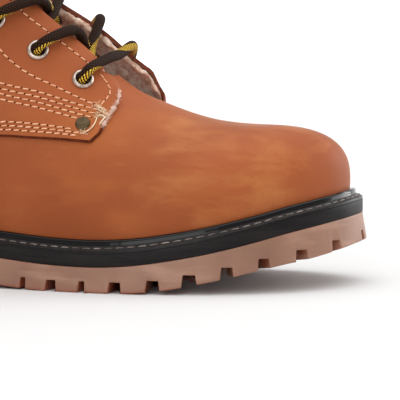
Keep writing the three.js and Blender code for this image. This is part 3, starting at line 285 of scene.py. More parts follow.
def carve(thing, others, how, cut_faces="INDEX"):
    """Cuts, joins or crosses a solid with others, which are used up. TRANSFER keeps their material."""
    for other in others:
        cut = thing.modifiers.new("carve", "BOOLEAN")
        cut.operation = how
        cut.solver = "MANIFOLD"
        cut.object = other
        cut.material_mode = cut_faces
    bake(thing)
    for other in others:
        bpy.data.meshes.remove(other.data)
    return thing


def round_edges(thing, radius):
    """Rounds a moulding's edges, as the mould does."""
    soften = thing.modifiers.new("round edges", "BEVEL")
    soften.width = radius * MM
    soften.segments = 2
    soften.limit_method = "ANGLE"
    soften.angle_limit = math.radians(38)
    soften.use_clamp_overlap = False
    bake(thing)
    smooth_below(thing.data, 50)


def gap_outline(width):
    foot, top = GAP_FLANKS["foot"] * width, GAP_FLANKS["top"] * width
    return [(-foot, -MARGIN), (foot, -MARGIN), (top, LUG_DEPTH), (-top, LUG_DEPTH)]


edge = outline_loop(0, OUTLINE_STEPS)


def side_gap(i, width):
    step = unit(edge[(i + 1) % len(edge)] - edge[i - 1])
    out = np.array([step[1], -step[0], 0])
    start = np.array([*edge[i], ground_height(edge[i][0])]) - out * LUG_LENGTH
    return prism("gap", gap_outline(width), LUG_LENGTH + MARGIN, start, (*step, 0), (0, 0, 1), out)


def ring_within(inset):
    return walled("ring", [(inset, lambda x: -2.0 * MARGIN), (inset, lambda x: TALL)], 150)


outsole = walled("outsole_gum", [
    (-SOLE_FLARE * 1.3, lambda x: -MARGIN),
    (-SOLE_FLARE, lambda x: ground_height(x) + LUG_DEPTH / 4),
    (0, lambda x: outsole_top(x) - LUG_DEPTH / 4),
    (0, lambda x: TALL),
])
arch_x = x_at(np.linspace(HEEL_BREAST["top"], PAST_ENDS[1], 100))
behind, before = x_at(PAST_ENDS)
side_view = [
    (behind, HEEL_BEVEL), (x_at(HEEL_SLOPE_END), 0), (x_at(HEEL_BREAST["foot"]), 0),
    *zip(arch_x, tread_height(arch_x)), (before, TALL), (behind, TALL),
]
under_midsole = between("under the midsole", lambda x: -MARGIN, outsole_top)
carve(outsole, [carve(across_boot("profile", side_view), [under_midsole], "INTERSECT")], "INTERSECT")
gaps = []
for along, width in zip(SIDE_GAPS["along"], SIDE_GAPS["width"]):
    for side in (-1, 1):
        away = np.where(side * edge[:, 1] > 0, np.abs(edge[:, 0] - x_at(along)), SOLE_LENGTH)
        gaps.append(side_gap(int(np.argmin(away)), width * LUG_GAP))
gaps.append(side_gap(int(np.argmax(edge[:, 0])), TIP_GAP * LUG_GAP))
for part, ends in CHANNEL_ENDS.items():
    ground = tread_height if part == "fore" else lambda x: 0 * x
    inner_ring = ring_within(LUG_LENGTH + CHANNEL / 2)
    ring = carve(ring_within(LUG_LENGTH - CHANNEL / 2), [inner_ring], "DIFFERENCE")
    space = between("space", lambda x: ground(x) - MARGIN, lambda x: ground(x) + LUG_DEPTH, ends, 60)
    gaps.append(carve(ring, [space], "INTERSECT"))
for along in MIDDLE_GAPS:
    x = float(x_at(along))
    ends = [curve(OUTLINE, "along", side)(along) * HALF_BALL - LUG_LENGTH for side in ("lateral", "medial")]
    outline = [(x + across, ground_height(x) + up) for across, up in gap_outline(LUG_GAP * MIDDLE_WIDTH)]
    gaps.append(across_boot("gap", outline, -ends[0], ends[1]))
carve(outsole, gaps, "DIFFERENCE")
round_edges(outsole, OUTSOLE_ROUNDING)


def linear(hex_colour):
    """An sRGB hex colour as linear light."""
    parts = [int(hex_colour[i:i + 2], 16) / 255 for i in (1, 3, 5)]
    return (*[c / 12.92 if c <= 0.04045 else ((c + 0.055) / 1.055) ** 2.4 for c in parts], 1)


def add_node(tree, kind, inputs=None, **settings):
    """Adds a node, sets it, and sets or links its inputs."""
    made = tree.nodes.new(kind)
    for name, value in settings.items():
        setattr(made, name, value)
    for socket, value in (inputs or {}).items():
        if isinstance(value, bpy.types.NodeSocket):
            tree.links.new(value, made.inputs[socket])
        else:
            made.inputs[socket].default_value = value
    return made


def new_material(name, **shader):
    """A material with one Principled shader, and the place on the piece in metres."""
    material = bpy.data.materials.new(name)
    material.use_nodes = True
    tree = material.node_tree
    surface = tree.nodes["Principled BSDF"]
    for socket, value in shader.items():
        surface.inputs[socket.replace("_", " ")].default_value = value
    place = tree.nodes.new("ShaderNodeTexCoord").outputs["Object"]
    return material, tree, surface, place


def blotches(tree, place, size_mm, detail=3.0, rough=0.55, stretch=(1, 1, 1), twist=0.0):
    """Cloudy blotches about this many millimetres across, which may be drawn out along an axis."""
    drawn_out = add_node(tree, "ShaderNodeMapping", {"Vector": place, "Scale": stretch})
    return add_node(tree, "ShaderNodeTexNoise", {
        "Vector": drawn_out.outputs["Vector"], "Scale": 1 / (size_mm * MM), "Detail": detail,
        "Roughness": rough, "Distortion": twist,
    }).outputs["Fac"]


def laid_over(tree, share, under, over, low=0.35, high=0.65):
    """One colour laid over another where a share rises from its low value to its high one."""
    cover = add_node(tree, "ShaderNodeMapRange", {"Value": share, "From Min": low, "From Max": high})
    mixed = {0: cover.outputs["Result"], 6: under, 7: over}
    return add_node(tree, "ShaderNodeMix", mixed, data_type="RGBA").outputs[2]


def relief(tree, place, surface, bumps):
    """Stacked bumps: the size of each and its depth in millimetres, then what else its blotches need."""
    normal = None
    for size_mm, depth, *blotch in bumps:
        height = blotches(tree, place, size_mm, *blotch)
        bumped = {"Height": height, "Distance": depth * MM, "Strength": 1.0}
        if normal is not None:
            bumped["Normal"] = normal
        normal = add_node(tree, "ShaderNodeBump", bumped).outputs["Normal"]
    tree.links.new(normal, surface.inputs["Normal"])


def mottled(name, size_mm, ground, patches, low=0.35, high=0.65, blotch=(), bumps=(), **shader):
    """A material of two shades in blotches of one size and kind, with stacked bumps."""
    material, tree, surface, place = new_material(name, **shader)
    share = blotches(tree, place, size_mm, *blotch)
    colour = laid_over(tree, share, linear(ground), linear(patches), low, high)
    tree.links.new(colour, surface.inputs["Base Color"])
    if bumps:
        relief(tree, place, surface, bumps)
    return material


def coat(thing, *materials):
    """Gives a piece its own materials and no others."""
    thing.data.materials.clear()
    for material in materials:
        thing.data.materials.append(material)


# Gum rubber is amber and lets light a little way in, red light the furthest. Its moulded skin is matt, with
# smears of paler bloom. Between the lugs, where little open air is near, its colour is painted a deeper
# red-brown: painted shade, and a painted glow for light through the rubber.
gum_rubber, tree, surface, place = new_material("moulded gum rubber", Roughness=0.46, Subsurface_Weight=0.25)
surface.inputs["Subsurface Radius"].default_value = (0.006, 0.0026, 0.0014)
surface.inputs["Subsurface Scale"].default_value = 1
clouds = laid_over(tree, blotches(tree, place, 34), linear("#956d58"), linear("#825c49"))
smears = blotches(tree, place, 9, stretch=(0.3, 0.3, 1.4))
bloomed = laid_over(tree, smears, clouds, linear("#a9816c"), 0.52, 0.8)
# Painted shade and glow: the colour turns deeper red-brown where the AO node finds little open air between
# the lugs.
open_air = add_node(tree, "ShaderNodeAmbientOcclusion", {"Distance": 0.007}, samples=6).outputs["AO"]
painted_gap_shade = laid_over(tree, open_air, linear("#86452c"), bloomed, 0.3, 0.85)
tree.links.new(painted_gap_shade, surface.inputs["Base Color"])
relief(tree, place, surface, [(1.6, 0.05), (14, 0.35, 2)])
coat(outsole, gum_rubber)
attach(outsole, "root")
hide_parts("outsole")

# The midsole. A flat band of black rubber between the outsole and the welt, cut to the same outline.
# Its wall is sanded, so it is dull, with faint lines along it.
MIDSOLE = 5.4
CLEARANCE = 0.3
MIDSOLE_ROUNDING = 0.35
BED_GAP = 0.02


def midsole_top(x):
    return outsole_top(x) + CLEARANCE + MIDSOLE


midsole = walled("midsole_rubber", [(0, lambda x: -MARGIN), (0, lambda x: TALL)])
carve(midsole, [between("band", lambda x: outsole_top(x) + BED_GAP, midsole_top)], "INTERSECT")
round_edges(midsole, MIDSOLE_ROUNDING)
black_rubber = mottled(
    "sanded black rubber", 6, "#0e0b0b", "#221c1c", 0.4, 0.75, (4, 0.7, (0.25, 0.25, 3)),
    [(5, 0.05, 3, 0.6, (0.12, 0.12, 9)), (1, 0.02)], Roughness=0.5, Specular_IOR_Level=0.18,
)
coat(midsole, black_rubber)
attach(midsole, "root")
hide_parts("midsole")

# The welt. A black rubber strip round the upper's foot: a sloped shoulder that carries the stitches, and
# a polished bead that stands up against the leather.
UPPER_INSET = 6
WELT_HEIGHT = 5.3
WELT = {
    "inset": [0.03, 0.03, 0.07, 0.2, 0.27, 0.34, 0.45, 0.49, 0.5, 0.53, 0.6, 0.7, 0.8, 0.9, 1, 1.2, 1.2],
    "height": [-0.05, 0.13, 0.2, 0.3, 0.29, 0.38, 0.47, 0.53, 0.68, 0.83, 0.94, 0.99, 1, 0.96, 0.88, 0.8,
               -0.05],
}
WELT_STEPS = 480
SHOULDER_SEGMENTS = 7
SHOULDER_ROW = {"inset": 0.27, "height": 0.33}
WELT_STITCH = {"pitch": 5, "length": 3.5, "width": 0.65, "height": 0.7, "proud": 0.6}
ROW_SHIFT = 0.37


def seat(x):
    return midsole_top(x) + CLEARANCE


loops = []
for inset, height in zip(WELT["inset"], WELT["height"]):
    loop = outline_loop(inset * UPPER_INSET, WELT_STEPS)
    loops.append(np.column_stack([loop, seat(loop[:, 0]) + height * WELT_HEIGHT]))
welt = mesh_object("welt_strip", np.concatenate(loops + loops[:1]), ladder(len(loops) + 1, WELT_STEPS), 40)
# The bead is rubbed to a gloss that shows the studio; the shoulder is left dull, with dust in its pores.
polished_welt, tree, surface, place = new_material(
    "polished black rubber", Roughness=0.1, Specular_IOR_Level=0.24)
surface.inputs["Base Color"].default_value = linear("#0b0808")
relief(tree, place, surface, [(3, 0.04, 2), (20, 0.4, 2)])
welt_shoulder = mottled(
    "stitched black rubber", 2.5, "#0c0808", "#231c1a", 0.45, 0.8, (4, 0.7), [(1.4, 0.06)],
    Roughness=0.34, Specular_IOR_Level=0.2,
)
coat(welt, polished_welt, welt_shoulder)
for face in welt.data.polygons:
    face.material_index = 1 if face.index // WELT_STEPS < SHOULDER_SEGMENTS else 0
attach(welt, "root")
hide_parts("welt")


def stitch_mesh(length, width, height, sides=6, rings=5):
    """One stitch: a short sunk-ended thread that lies along X, its middle at the origin."""
    points, faces = [], []
    for k in range(rings):
        turn = math.pi * (k + 0.5) / rings
        size = math.sin(turn) ** 0.6
        for i in range(sides):
            around = 2 * math.pi * i / sides
            points.append((
                -math.cos(turn) * length / 2,
                math.cos(around) * width / 2 * size,
                math.sin(around) * height / 2 * size + height * 0.35 * (size - 0.6),
            ))
    return np.array(points), ladder(rings, sides) + end_faces((rings - 1) * sides, sides)


def sew(name, rows, material, slot, pitch, length, width, height, proud=0.5, phase=0.5, slant=0):
    """Rows of stitches as one mesh. A row is a line of points and the ways that the piece faces there."""
    pattern, pattern_faces = stitch_mesh(length, width, height)
    points, faces = [], []
    for row, (line, facing) in enumerate(rows):
        at = distance_along(line)
        count = max(1, round(at[-1] / pitch))
        step = at[-1] / count
        for k in range(count):
            middle = (k + phase + ROW_SHIFT * (row % 3 - 1)) * step
            start, end = (
                np.array([np.interp(middle + half, at, line[:, c]) for c in range(3)])
                for half in (-step / 2, step / 2)
            )
            out = np.array([np.interp(middle, at, facing[:, c]) for c in range(3)])
            along = unit(end - start)
            out = unit(out - along * (out @ along))
            along = unit(along + np.cross(out, along) * slant)
            axes = np.stack([along, np.cross(out, along), out])
            centre = (start + end) / 2 + out * height * (proud - 0.5)
            shift = len(points) * len(pattern)
            points.append(centre + pattern @ axes)
            faces += [tuple(i + shift for i in face) for face in pattern_faces]
    thing = mesh_object(name, np.concatenate(points), faces, 60)
    coat(thing, material)
    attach(thing, "root")
    return thing


loop = outline_loop(SHOULDER_ROW["inset"] * UPPER_INSET, WELT_STEPS * 2)
line = np.column_stack([loop, seat(loop[:, 0]) + SHOULDER_ROW["height"] * WELT_HEIGHT])
line = np.concatenate([line, line[:1]])
facing = np.cross(unit(np.gradient(line, axis=0)), [0, 0, 1]) + [0, 0, 1]
# Waxed thread, grey with dust, and darker where it is worn into the rubber.
welt_thread = mottled("waxed grey thread", 5, "#93837a", "#40352f", Roughness=0.6)
sew("welt_stitches", [(line, facing)], welt_thread, "black_welt", **WELT_STITCH)

# The vamp. One piece of oiled nubuck, drawn over the last from the toe back to the waist.
# The form is the last's: sections across the foot from the toe up to the collar.
INSTEP_HEIGHT = 77.3
COLLAR_HEIGHT = 180
LEATHER = 2
QUARTER_LAYER = 1.6
HEEL_CORNER = 10
FULLEST = 0.98
SECTIONS = {
    "front": [0.8497, 0.8039, 0.7582, 0.7157, 0.6765, 0.6405, 0.6013, 0.5654, 0.555, 0.546, 0.536, 0.5098,
              0.4837, 0.4608, 0.4412, 0.4248, 0.4118, 0.4052],
    "low": [0.885, 0.893, 0.938, 1, 1, 1, 1, 1, 1, 1, 1, 1, 1, 1, 1, 1, 1, 1],
    "high": [0, 0, 0, 0, 0.053, 0.138, 0.248, 0.352, 0.385, 0.415, 0.447, 0.533, 0.63, 0.727, 0.825,
             0.922, 1.01, 1.078],
    "back": [0.8497, 0.8007, 0.7516, 0.6993, 0.6275, 0.5229, 0.3693, 0.1895, 0.1, 0.045, 0.0206, 0.006,
             0.007, 0.018, 0.027, 0.031, 0.031, 0.028],
    "rise": [0, 0, 0, 0, 0, 0, 0, 0, 0, 0, 0, 0.164, 0.318, 0.465, 0.6, 0.733, 0.866, 1],
    "centre": [0.064, 0.06, 0.045, 0.025, 0.01, 0, 0, 0, 0, 0, 0, 0, 0, 0, 0, 0, 0, 0],
    "lateral": [0.828, 0.92, 0.955, 0.948, 0.895, 0.8, 0.72, 0.7, 0.69, 0.685, 0.68, 0.655, 0.64, 0.645,
                0.67, 0.7, 0.725, 0.745],
    "medial": [0.822, 0.87, 0.89, 0.88, 0.79, 0.67, 0.65, 0.66, 0.66, 0.66, 0.655, 0.64, 0.63, 0.64,
               0.665, 0.695, 0.72, 0.74],
    "widest": [0.27, 0.25, 0.24, 0.23, 0.22, 0.25, 0.36, 0.42, 0.45, 0.47, 0.48, 0.49, 0.5, 0.5, 0.5, 0.5,
               0.5, 0.5],
    "crown": [2.55, 2.4, 2.25, 2.15, 2.1, 2.05, 2.05, 2.05, 2.05, 2.05, 2.05, 2.05, 2.05, 2.05, 2.05, 2.1,
              2.1, 2.1],
    "base": [2, 2, 2, 2, 2, 2, 2, 2.3, 2.4, 2.5, 2.6, 2.25, 2.25, 2.2, 2.15, 2.1, 2.1, 2.1],
}
LAST_SECTION = len(SECTIONS["front"]) - 1
SECTIONS["at"] = list(range(LAST_SECTION + 1))
section_curves = {column: curve(SECTIONS, "at", column) for column in SECTIONS if column != "at"}
TOE = {"widest": 0.27, "crown": 2.7, "bulge": 1.02}
ROWS_PER_SECTION = 6
TOE_COLUMNS = 44
LEVELS = 40
JOINT_REACH = 12
JOINT_ROUNDS = 30
feather = outline_loop(UPPER_INSET + CLEARANCE, OUTLINE_STEPS)
heel_end = feather[:, 0].min()


def reach(loop, centre, angle):
    """How far a line from a centre, turned from +X, runs to the loop round it."""
    way = np.array([math.cos(angle), math.sin(angle)])
    a = loop - centre
    along_it = np.roll(loop, -1, axis=0) - loop
    cross = way[0] * along_it[:, 1] - way[1] * along_it[:, 0]
    cross = np.where(np.abs(cross) < 1e-9, np.inf, cross)
    distance = (a[:, 0] * along_it[:, 1] - a[:, 1] * along_it[:, 0]) / cross
    share = (a[:, 0] * way[1] - a[:, 1] * way[0]) / cross
    return distance[(share >= 0) & (share <= 1) & (distance > 0)].max()


def half_section(level, depth, foot, width, widest, crown, base):
    """Half a section, as distances out from its centre and up from its foot."""
    half = max(width, foot / FULLEST)
    below = widest * depth / (1 - (foot / half) ** base) ** (1 / base)
    first = -math.asin(min(1, widest * depth / below))
    sine = np.sin(first + (math.pi / 2 - first) * level)
    power = np.where(sine > 0, crown, base)
    out = half * np.maximum(0, 1 - np.abs(sine) ** power) ** (1 / power)
    return out, widest * depth + np.where(sine > 0, (1 - widest) * depth, below) * sine


def section_at(at, side):
    of = {column: float(f(at)) for column, f in section_curves.items()}
    top_height = of["low"] * INSTEP_HEIGHT + of["high"] * (COLLAR_HEIGHT - INSTEP_HEIGHT)
    top = np.array([x_at(of["front"]), 0, top_height])
    on_seat = at < HEEL_CORNER
    foot_x = max(float(x_at(of["back"])), heel_end) if on_seat else float(x_at(of["back"]))
    floor_height = float(seat(foot_x))
    rise = 0 if on_seat else of["rise"]
    foot = np.array([foot_x, 0, floor_height + rise * (COLLAR_HEIGHT - floor_height)])
    centre = of["centre"] * HALF_BALL
    foot_width = reach(feather, (max(foot_x, heel_end), centre), side * math.pi / 2) if on_seat else 0
    return {
        "foot": foot, "way": unit(top - foot), "depth": np.linalg.norm(top - foot),
        "centre": centre, "side": side, "foot_width": foot_width,
        "width": of["lateral" if side < 0 else "medial"] * HALF_BALL,
        "widest": of["widest"], "crown": of["crown"], "base": of["base"],
    }


def section_point(section, out, up):
    points = section["foot"] + np.multiply.outer(up, section["way"])
    points[..., 1] = section["centre"] + section["side"] * out
    return points


def section_column(at, side, levels):
    section = section_at(at, side)
    shape = (section[key] for key in ("depth", "foot_width", "width", "widest", "crown", "base"))
    return section_point(section, *half_section(levels, *shape))


def toe_column(angle, levels):
    centre = np.array([x_at(SECTIONS["front"][0]), SECTIONS["centre"][0] * HALF_BALL])
    foot = reach(feather, centre, angle)
    forward = math.cos(angle) ** 2
    foot_height = float(seat(centre[0] + foot * math.cos(angle)))
    depth = SECTIONS["low"][0] * INSTEP_HEIGHT - foot_height
    widest = SECTIONS["widest"][0] + (TOE["widest"] - SECTIONS["widest"][0]) * forward
    crown = SECTIONS["crown"][0] + (TOE["crown"] - SECTIONS["crown"][0]) * forward
    side = SECTIONS["lateral" if angle < 0 else "medial"][0] * HALF_BALL
    width = max(foot * TOE["bulge"], side * (1 - forward))
    out, up = half_section(levels, depth, foot, width, widest, crown, SECTIONS["base"][0])
    x, y = centre[0] + out * math.cos(angle), centre[1] + out * math.sin(angle)
    return np.stack([x, y, foot_height + up], axis=1)


def smooth(value, low, high):
    share = np.clip((value - low) / (high - low), 0, 1)
    return share * share * (3 - 2 * share)


row_places = np.linspace(0, LAST_SECTION, LAST_SECTION * ROWS_PER_SECTION + 1)
levels = np.linspace(0, 1, LEVELS + 1)
lateral_columns = [section_column(at, -1, levels) for at in row_places]
medial_columns = [section_column(at, 1, levels) for at in row_places]
toe_columns = [toe_column(math.pi * (i / TOE_COLUMNS - 0.5), levels) for i in range(1, TOE_COLUMNS)]
last_columns = np.array(lateral_columns[::-1] + toe_columns + medial_columns)
near_joint = np.zeros(len(last_columns))
for joint in (len(lateral_columns) - 1, len(lateral_columns) + len(toe_columns)):
    away = np.abs(np.arange(len(last_columns)) - joint)
    near_joint = np.maximum(near_joint, 1 - smooth(away, 3, JOINT_REACH))
for _ in range(JOINT_ROUNDS):
    evened = last_columns.copy()
    evened[1:-1] = (last_columns[:-2] + last_columns[2:]) / 2
    last_columns += 0.5 * near_joint[:, None, None] * (evened - last_columns)
last_points = last_columns.reshape(-1, 3)
last_sides = ladder(len(last_columns), LEVELS + 1, closed=False)


def last_normals():
    """The way that each point of the last faces; points that coincide share it."""
    quads = np.array(last_sides)
    across = last_points[quads[:, 2]] - last_points[quads[:, 0]]
    normal = np.cross(across, last_points[quads[:, 3]] - last_points[quads[:, 1]])
    _, same = np.unique(np.round(last_points * 1000), axis=0, return_inverse=True)
    same = same.reshape(-1)
    total = np.zeros((same.max() + 1, 3))
    for corner in range(4):
        np.add.at(total, same[quads[:, corner]], normal)
    found = unit(total[same])
    middle = last_points.mean(axis=0)
    return found * np.sign(np.sum(found * (last_points - middle)))


facing_out = last_normals()
heel_column = (LAST_SECTION - HEEL_CORNER) * ROWS_PER_SECTION
end_column = len(last_columns) - 1
column_of = np.arange(len(last_points)) // (LEVELS + 1)
level_of = np.arange(len(last_points)) % (LEVELS + 1)
foot_points = (level_of == 0) & (column_of >= heel_column) & (column_of <= end_column - heel_column)
level_way = facing_out.copy()
flat_points = foot_points | (column_of == 0) | (column_of == end_column)
level_way[flat_points, 2] = 0
level_way = unit(level_way)


def last_form(name, offset, lowered=0, raised=0):
    """The last as a closed solid, swollen by an offset that may differ from point to point."""
    points = list(last_points + level_way * np.broadcast_to(offset(last_points), len(last_points))[:, None])
    faces = list(last_sides)
    rim = [end_column * (LEVELS + 1) + level for level in range(LEVELS + 1)] + list(range(LEVELS, -1, -1))
    foot = [column * (LEVELS + 1) for column in range(heel_column, end_column - heel_column + 1)]
    for border, by in ((foot, -lowered), (rim, raised)):
        first = len(points)
        points += [points[i] + np.array([0, 0, by]) for i in border]
        for k in range(len(border) - 1):
            faces.append((border[k + 1], border[k], first + k, first + k + 1))
        for k in range((len(border) - 1) // 2):
            far, near = first + len(border) - 1 - k, first + len(border) - 2 - k
            faces.append((first + k + 1, first + k, far, near) if near != first + k + 1 else
                         (first + k + 1, first + k, far))
    return mesh_object(name, points, faces)


WING = 14
FORE_PART = (0.6, 1.1)
THROAT_FROM = {"along": 0.6667, "height": 1.06}
THROAT_TO = {"along": 0.4052, "height": 1.045}
LATERAL_LIFT = 2.8
MEDIAL_LIFT = 9
FLAP_FREE = (0.27, 0.62)
FLAP_RISE = (-0.11, 0.003)
FLAP_SETTLE = (0.14, 0.6)
FLAP_FRONT = (0.4, 0.5)
SHAFT_FRONT = (0.4, 0.52)
CUT_THROUGH = 6
UNDER_THROAT = 30
throat_start = np.array([x_at(THROAT_FROM["along"]), 0, INSTEP_HEIGHT * THROAT_FROM["height"]])
throat_end = np.array([x_at(THROAT_TO["along"]), 0, COLLAR_HEIGHT * THROAT_TO["height"]])
throat_length = np.linalg.norm(throat_end - throat_start)
throat_line = (throat_end - throat_start) / throat_length
throat_normal = np.array([throat_line[2], 0, -throat_line[0]])


def flap_lift(points):
    """How far the free front of each flap stands off the vamp."""
    up = (points - throat_start) @ throat_line / throat_length
    free = 1 - smooth(np.abs(points[:, 1]) / HALF_BALL, *FLAP_FREE)
    raised = smooth(up, *FLAP_RISE) * (1 - smooth(up, *FLAP_SETTLE))
    front = smooth(points[:, 0], *x_at(FLAP_FRONT))
    return np.where(points[:, 1] < 0, LATERAL_LIFT, MEDIAL_LIFT) * free * raised * front


def inner_face(points):
    return QUARTER_LAYER * (1 - smooth(points[:, 0], *x_at(SHAFT_FRONT))) - LEATHER


FACINGS = {
    "up": [-0.3, -0.1, -0.075, -0.042, -0.018, 0.015, 0.06, 0.12, 1.4],
    "lateral": [0.7, 0.7, 0.65, 0.5, 0.36, 0.27, 0.23, 0.22, 0.22],
    "medial": [0.9, 0.56, 0.34, 0.25, 0.235, 0.23, 0.225, 0.22, 0.22],
}
VAMP_SLIT = {"up": [0.07, 0.08, 0.11, 0.16, 1.4], "lateral": [0.02, 0.2, 0.36, 0.43, 0.43]}
VAMP_SLIT["medial"] = VAMP_SLIT["lateral"]
QUARTER_EDGE = {
    "along": [0.362, 0.362, 0.372, 0.394, 0.425, 0.465, 0.512, 0.556, 0.6, 0.6445],
    "height": [0, 0.3, 0.47, 0.62, 0.74, 0.815, 0.845, 0.84, 0.834, 0.823],
}
LATERAL_FRONT = {
    "along": [0.6545, 0.6592, 0.665, 0.6695, 0.6705, 0.6685, 0.663, 0.654, 0.64],
    "height": [0.862, 0.915, 0.97, 1.02, 1.055, 1.085, 1.12, 1.155, 1.19],
}
MEDIAL_FRONT = {"along": [0.664, 0.682, 0.697, 0.706, 0.712], "height": [0.84, 0.9, 0.97, 1.06, 1.2]}
FLAP_THINNED = 2
FLAP_THINNING = (0.3, 2.2)


def under_flap(points):
    """How far the quarter's inner face lies off the last's form; the leather is thin where a flap is free."""
    lift = flap_lift(points)
    return inner_face(points) + lift + FLAP_THINNED * smooth(lift, *FLAP_THINNING)


def throat_cut(table, narrower=0):
    up = np.array(table["up"])
    fine = np.concatenate([np.linspace(up[0], up[-2], 60), up[-1:]])
    sides = [curve(table, "up", side)(fine) * HALF_BALL - narrower for side in ("lateral", "medial")]
    outline = np.concatenate([
        np.column_stack([fine * throat_length, -sides[0]]),
        np.column_stack([fine * throat_length, sides[1]])[::-1],
    ])
    origin = throat_start - throat_normal * UNDER_THROAT
    return prism("throat", outline, UNDER_THROAT * 4, origin, throat_line, (0, 1, 0), throat_normal)


def smooth_line(points, steps):
    """A smooth line through points, spread evenly."""
    points = np.asarray(points, float)
    table = {"at": distance_along(points), **{str(k): points[:, k] for k in range(points.shape[1])}}
    where = np.linspace(0, table["at"][-1], steps)
    return np.stack([curve(table, "at", str(k))(where) for k in range(points.shape[1])], axis=1)


def side_line(table):
    return np.column_stack([x_at(table["along"]), np.array(table["height"]) * INSTEP_HEIGHT])


def quarter_side(front, low, high):
    lower = smooth_line(side_line(QUARTER_EDGE), 80)
    fore = smooth_line(side_line(front), 40)
    above = COLLAR_HEIGHT * 1.5
    behind = -HEEL_SETBACK * 2
    outline = [*lower, *fore, (fore[-1][0], above), (behind, above), (behind, 0)]
    return across_boot("quarter side", outline, low, high)


vamp = last_form("vamp_leather", lambda p: 0)
hollow = last_form("hollow", inner_face, CUT_THROUGH, CUT_THROUGH)
carve(vamp, [throat_cut(VAMP_SLIT), hollow], "DIFFERENCE")
wing_edge = smooth_line(side_line(QUARTER_EDGE), 60) - [WING, 0]
waist, before = x_at(FORE_PART)
fore_part = across_boot("fore part", [*wing_edge, (waist, TALL), (before, TALL), (before, 0)])
carve(vamp, [fore_part], "INTERSECT")
smooth_below(vamp.data, 45)
# Oiled nubuck is buffed leather, drawn over the last while damp: a dull, short nap that catches the light
# at a grazing angle, with soft paler smudges where the oil is pulled, most of all where it is drawn over
# the toe.
DRAWN_TOE = {"place": (0.222, -0.028, 0.066), "within": 0.012, "fades": 0.062, "paler": 0.24}
nubuck, tree, surface, place = new_material(
    "oiled nubuck", Roughness=0.62, Specular_IOR_Level=0.2, Sheen_Weight=0.5, Sheen_Roughness=0.15)
surface.inputs["Sheen Tint"].default_value = linear("#ffe6d0")
hide = laid_over(tree, blotches(tree, place, 60, 2, 0.5), linear("#9d522a"), linear("#8a441f"), 0.35, 0.68)
smudges = blotches(tree, place, 26, stretch=(0.55, 0.8, 1.3))
pulled = laid_over(tree, smudges, hide, linear("#a85f2e"), 0.5, 0.88)
from_toe = add_node(tree, "ShaderNodeVectorMath", {0: place, 1: DRAWN_TOE["place"]}, operation="DISTANCE")
drawn = add_node(tree, "ShaderNodeMapRange", {
    "Value": from_toe.outputs["Value"], "From Min": DRAWN_TOE["within"], "From Max": DRAWN_TOE["fades"],
    "To Min": DRAWN_TOE["paler"], "To Max": 0,
}, interpolation_type="SMOOTHSTEP").outputs["Result"]
streaks = blotches(tree, place, 17, 3, 0.6, (0.5, 0.6, 1.5), 0.3)
drawn = add_node(tree, "ShaderNodeMath", {0: drawn, 1: streaks}, operation="ADD").outputs[0]
pulled = laid_over(tree, drawn, pulled, linear("#b97742"), 0.62, 1.1)
freckled = laid_over(tree, blotches(tree, place, 1.1, 3, 0.6), pulled, linear("#7d3b1b"), 0.56, 1.15)
tree.links.new(freckled, surface.inputs["Base Color"])
relief(tree, place, surface, [(0.6, 0.03, 3, 0.7), (4, 0.09), (30, 0.4, 2)])
coat(vamp, nubuck)
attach(vamp, "root")
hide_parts("upper")

# The quarters. Two pieces of the same nubuck that lap over the vamp, meet behind the heel and carry the
# eyelets along their front edges. The front corners are free, so they stand off the vamp a little.
GLUE_GAP = 0.05
quarters = last_form("quarter_leather", lambda p: QUARTER_LAYER + flap_lift(p))
inside = last_form("inside", lambda p: under_flap(p) + GLUE_GAP, CUT_THROUGH, CUT_THROUGH)


def both_sides():
    outer_side = quarter_side(LATERAL_FRONT, -CLEAR_OF_BOOT, 0)
    return carve(outer_side, [quarter_side(MEDIAL_FRONT, 0, CLEAR_OF_BOOT)], "UNION")


# Along the lacing the leather's cut edge is left raw: darker and redder than the face, with a fibrous
# grain. The outer edges are oiled and buffed like the face.
cut_leather = mottled(
    "raw cut leather", 0.8, "#5a2614", "#8a4526", blotch=(3, 0.7), bumps=[(0.6, 0.15, 3, 0.7)], Roughness=0.8)
carve(quarters, [inside], "DIFFERENCE")
coat(quarters, nubuck)
carve(quarters, [both_sides()], "INTERSECT")
throat = throat_cut(FACINGS)
coat(throat, cut_leather)
carve(quarters, [throat], "DIFFERENCE", "TRANSFER")
quarter_tree = BVHTree.FromObject(quarters, bpy.context.evaluated_depsgraph_get())
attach(quarters, "root")

# The eyelets. Six pairs of pressed rings in dull pewter, set in a line along each facing and rolled over
# behind the leather. Each stands on the quarter's face.
LACE_WIDTH = 4.6
LACE_PLAY = 1
EYELET_PAIRS = 6
EYELET_RIM = 1.9
EYELET_FLANGE = 1.2
EYELET_WALL = 0.7
EYELET_ROLL = 1.1
EYELET_MARGIN = 10.4
COLLAR_MARGIN = 12
FIRST_EYELET = 0.616
PRESSED_RIM = {
    "out": [0.868, 1, 1, 0.868, 0.658, 0.5, 0.263, 0.095, 0.016],
    "up": [0, 0.15, 0.35, 0.65, 0.9, 1, 0.917, 0.708, 0.375],
}
NEAR = 0.05
HALVINGS = 30
SEAT_CHECKS = 12
facing_edge = FACINGS["lateral"][-1] * HALF_BALL
eyelet_out = facing_edge + EYELET_MARGIN
eyelet_bore = LACE_WIDTH + LACE_PLAY
eyelet_width = eyelet_bore + EYELET_RIM * 2
eyelet_barrel = QUARTER_LAYER + CLEARANCE + EYELET_ROLL


def on_crown(at, side, out):
    """A place on the last's crown, out from its centre line."""
    section = section_at(at, side)
    half = max(section["width"], section["foot_width"] / FULLEST)
    sine = (1 - min(1, out / half) ** section["crown"]) ** (1 / section["crown"])
    up = section["depth"] * (section["widest"] + (1 - section["widest"]) * sine)
    return section_point(section, np.array([out]), np.array([up]))[0]


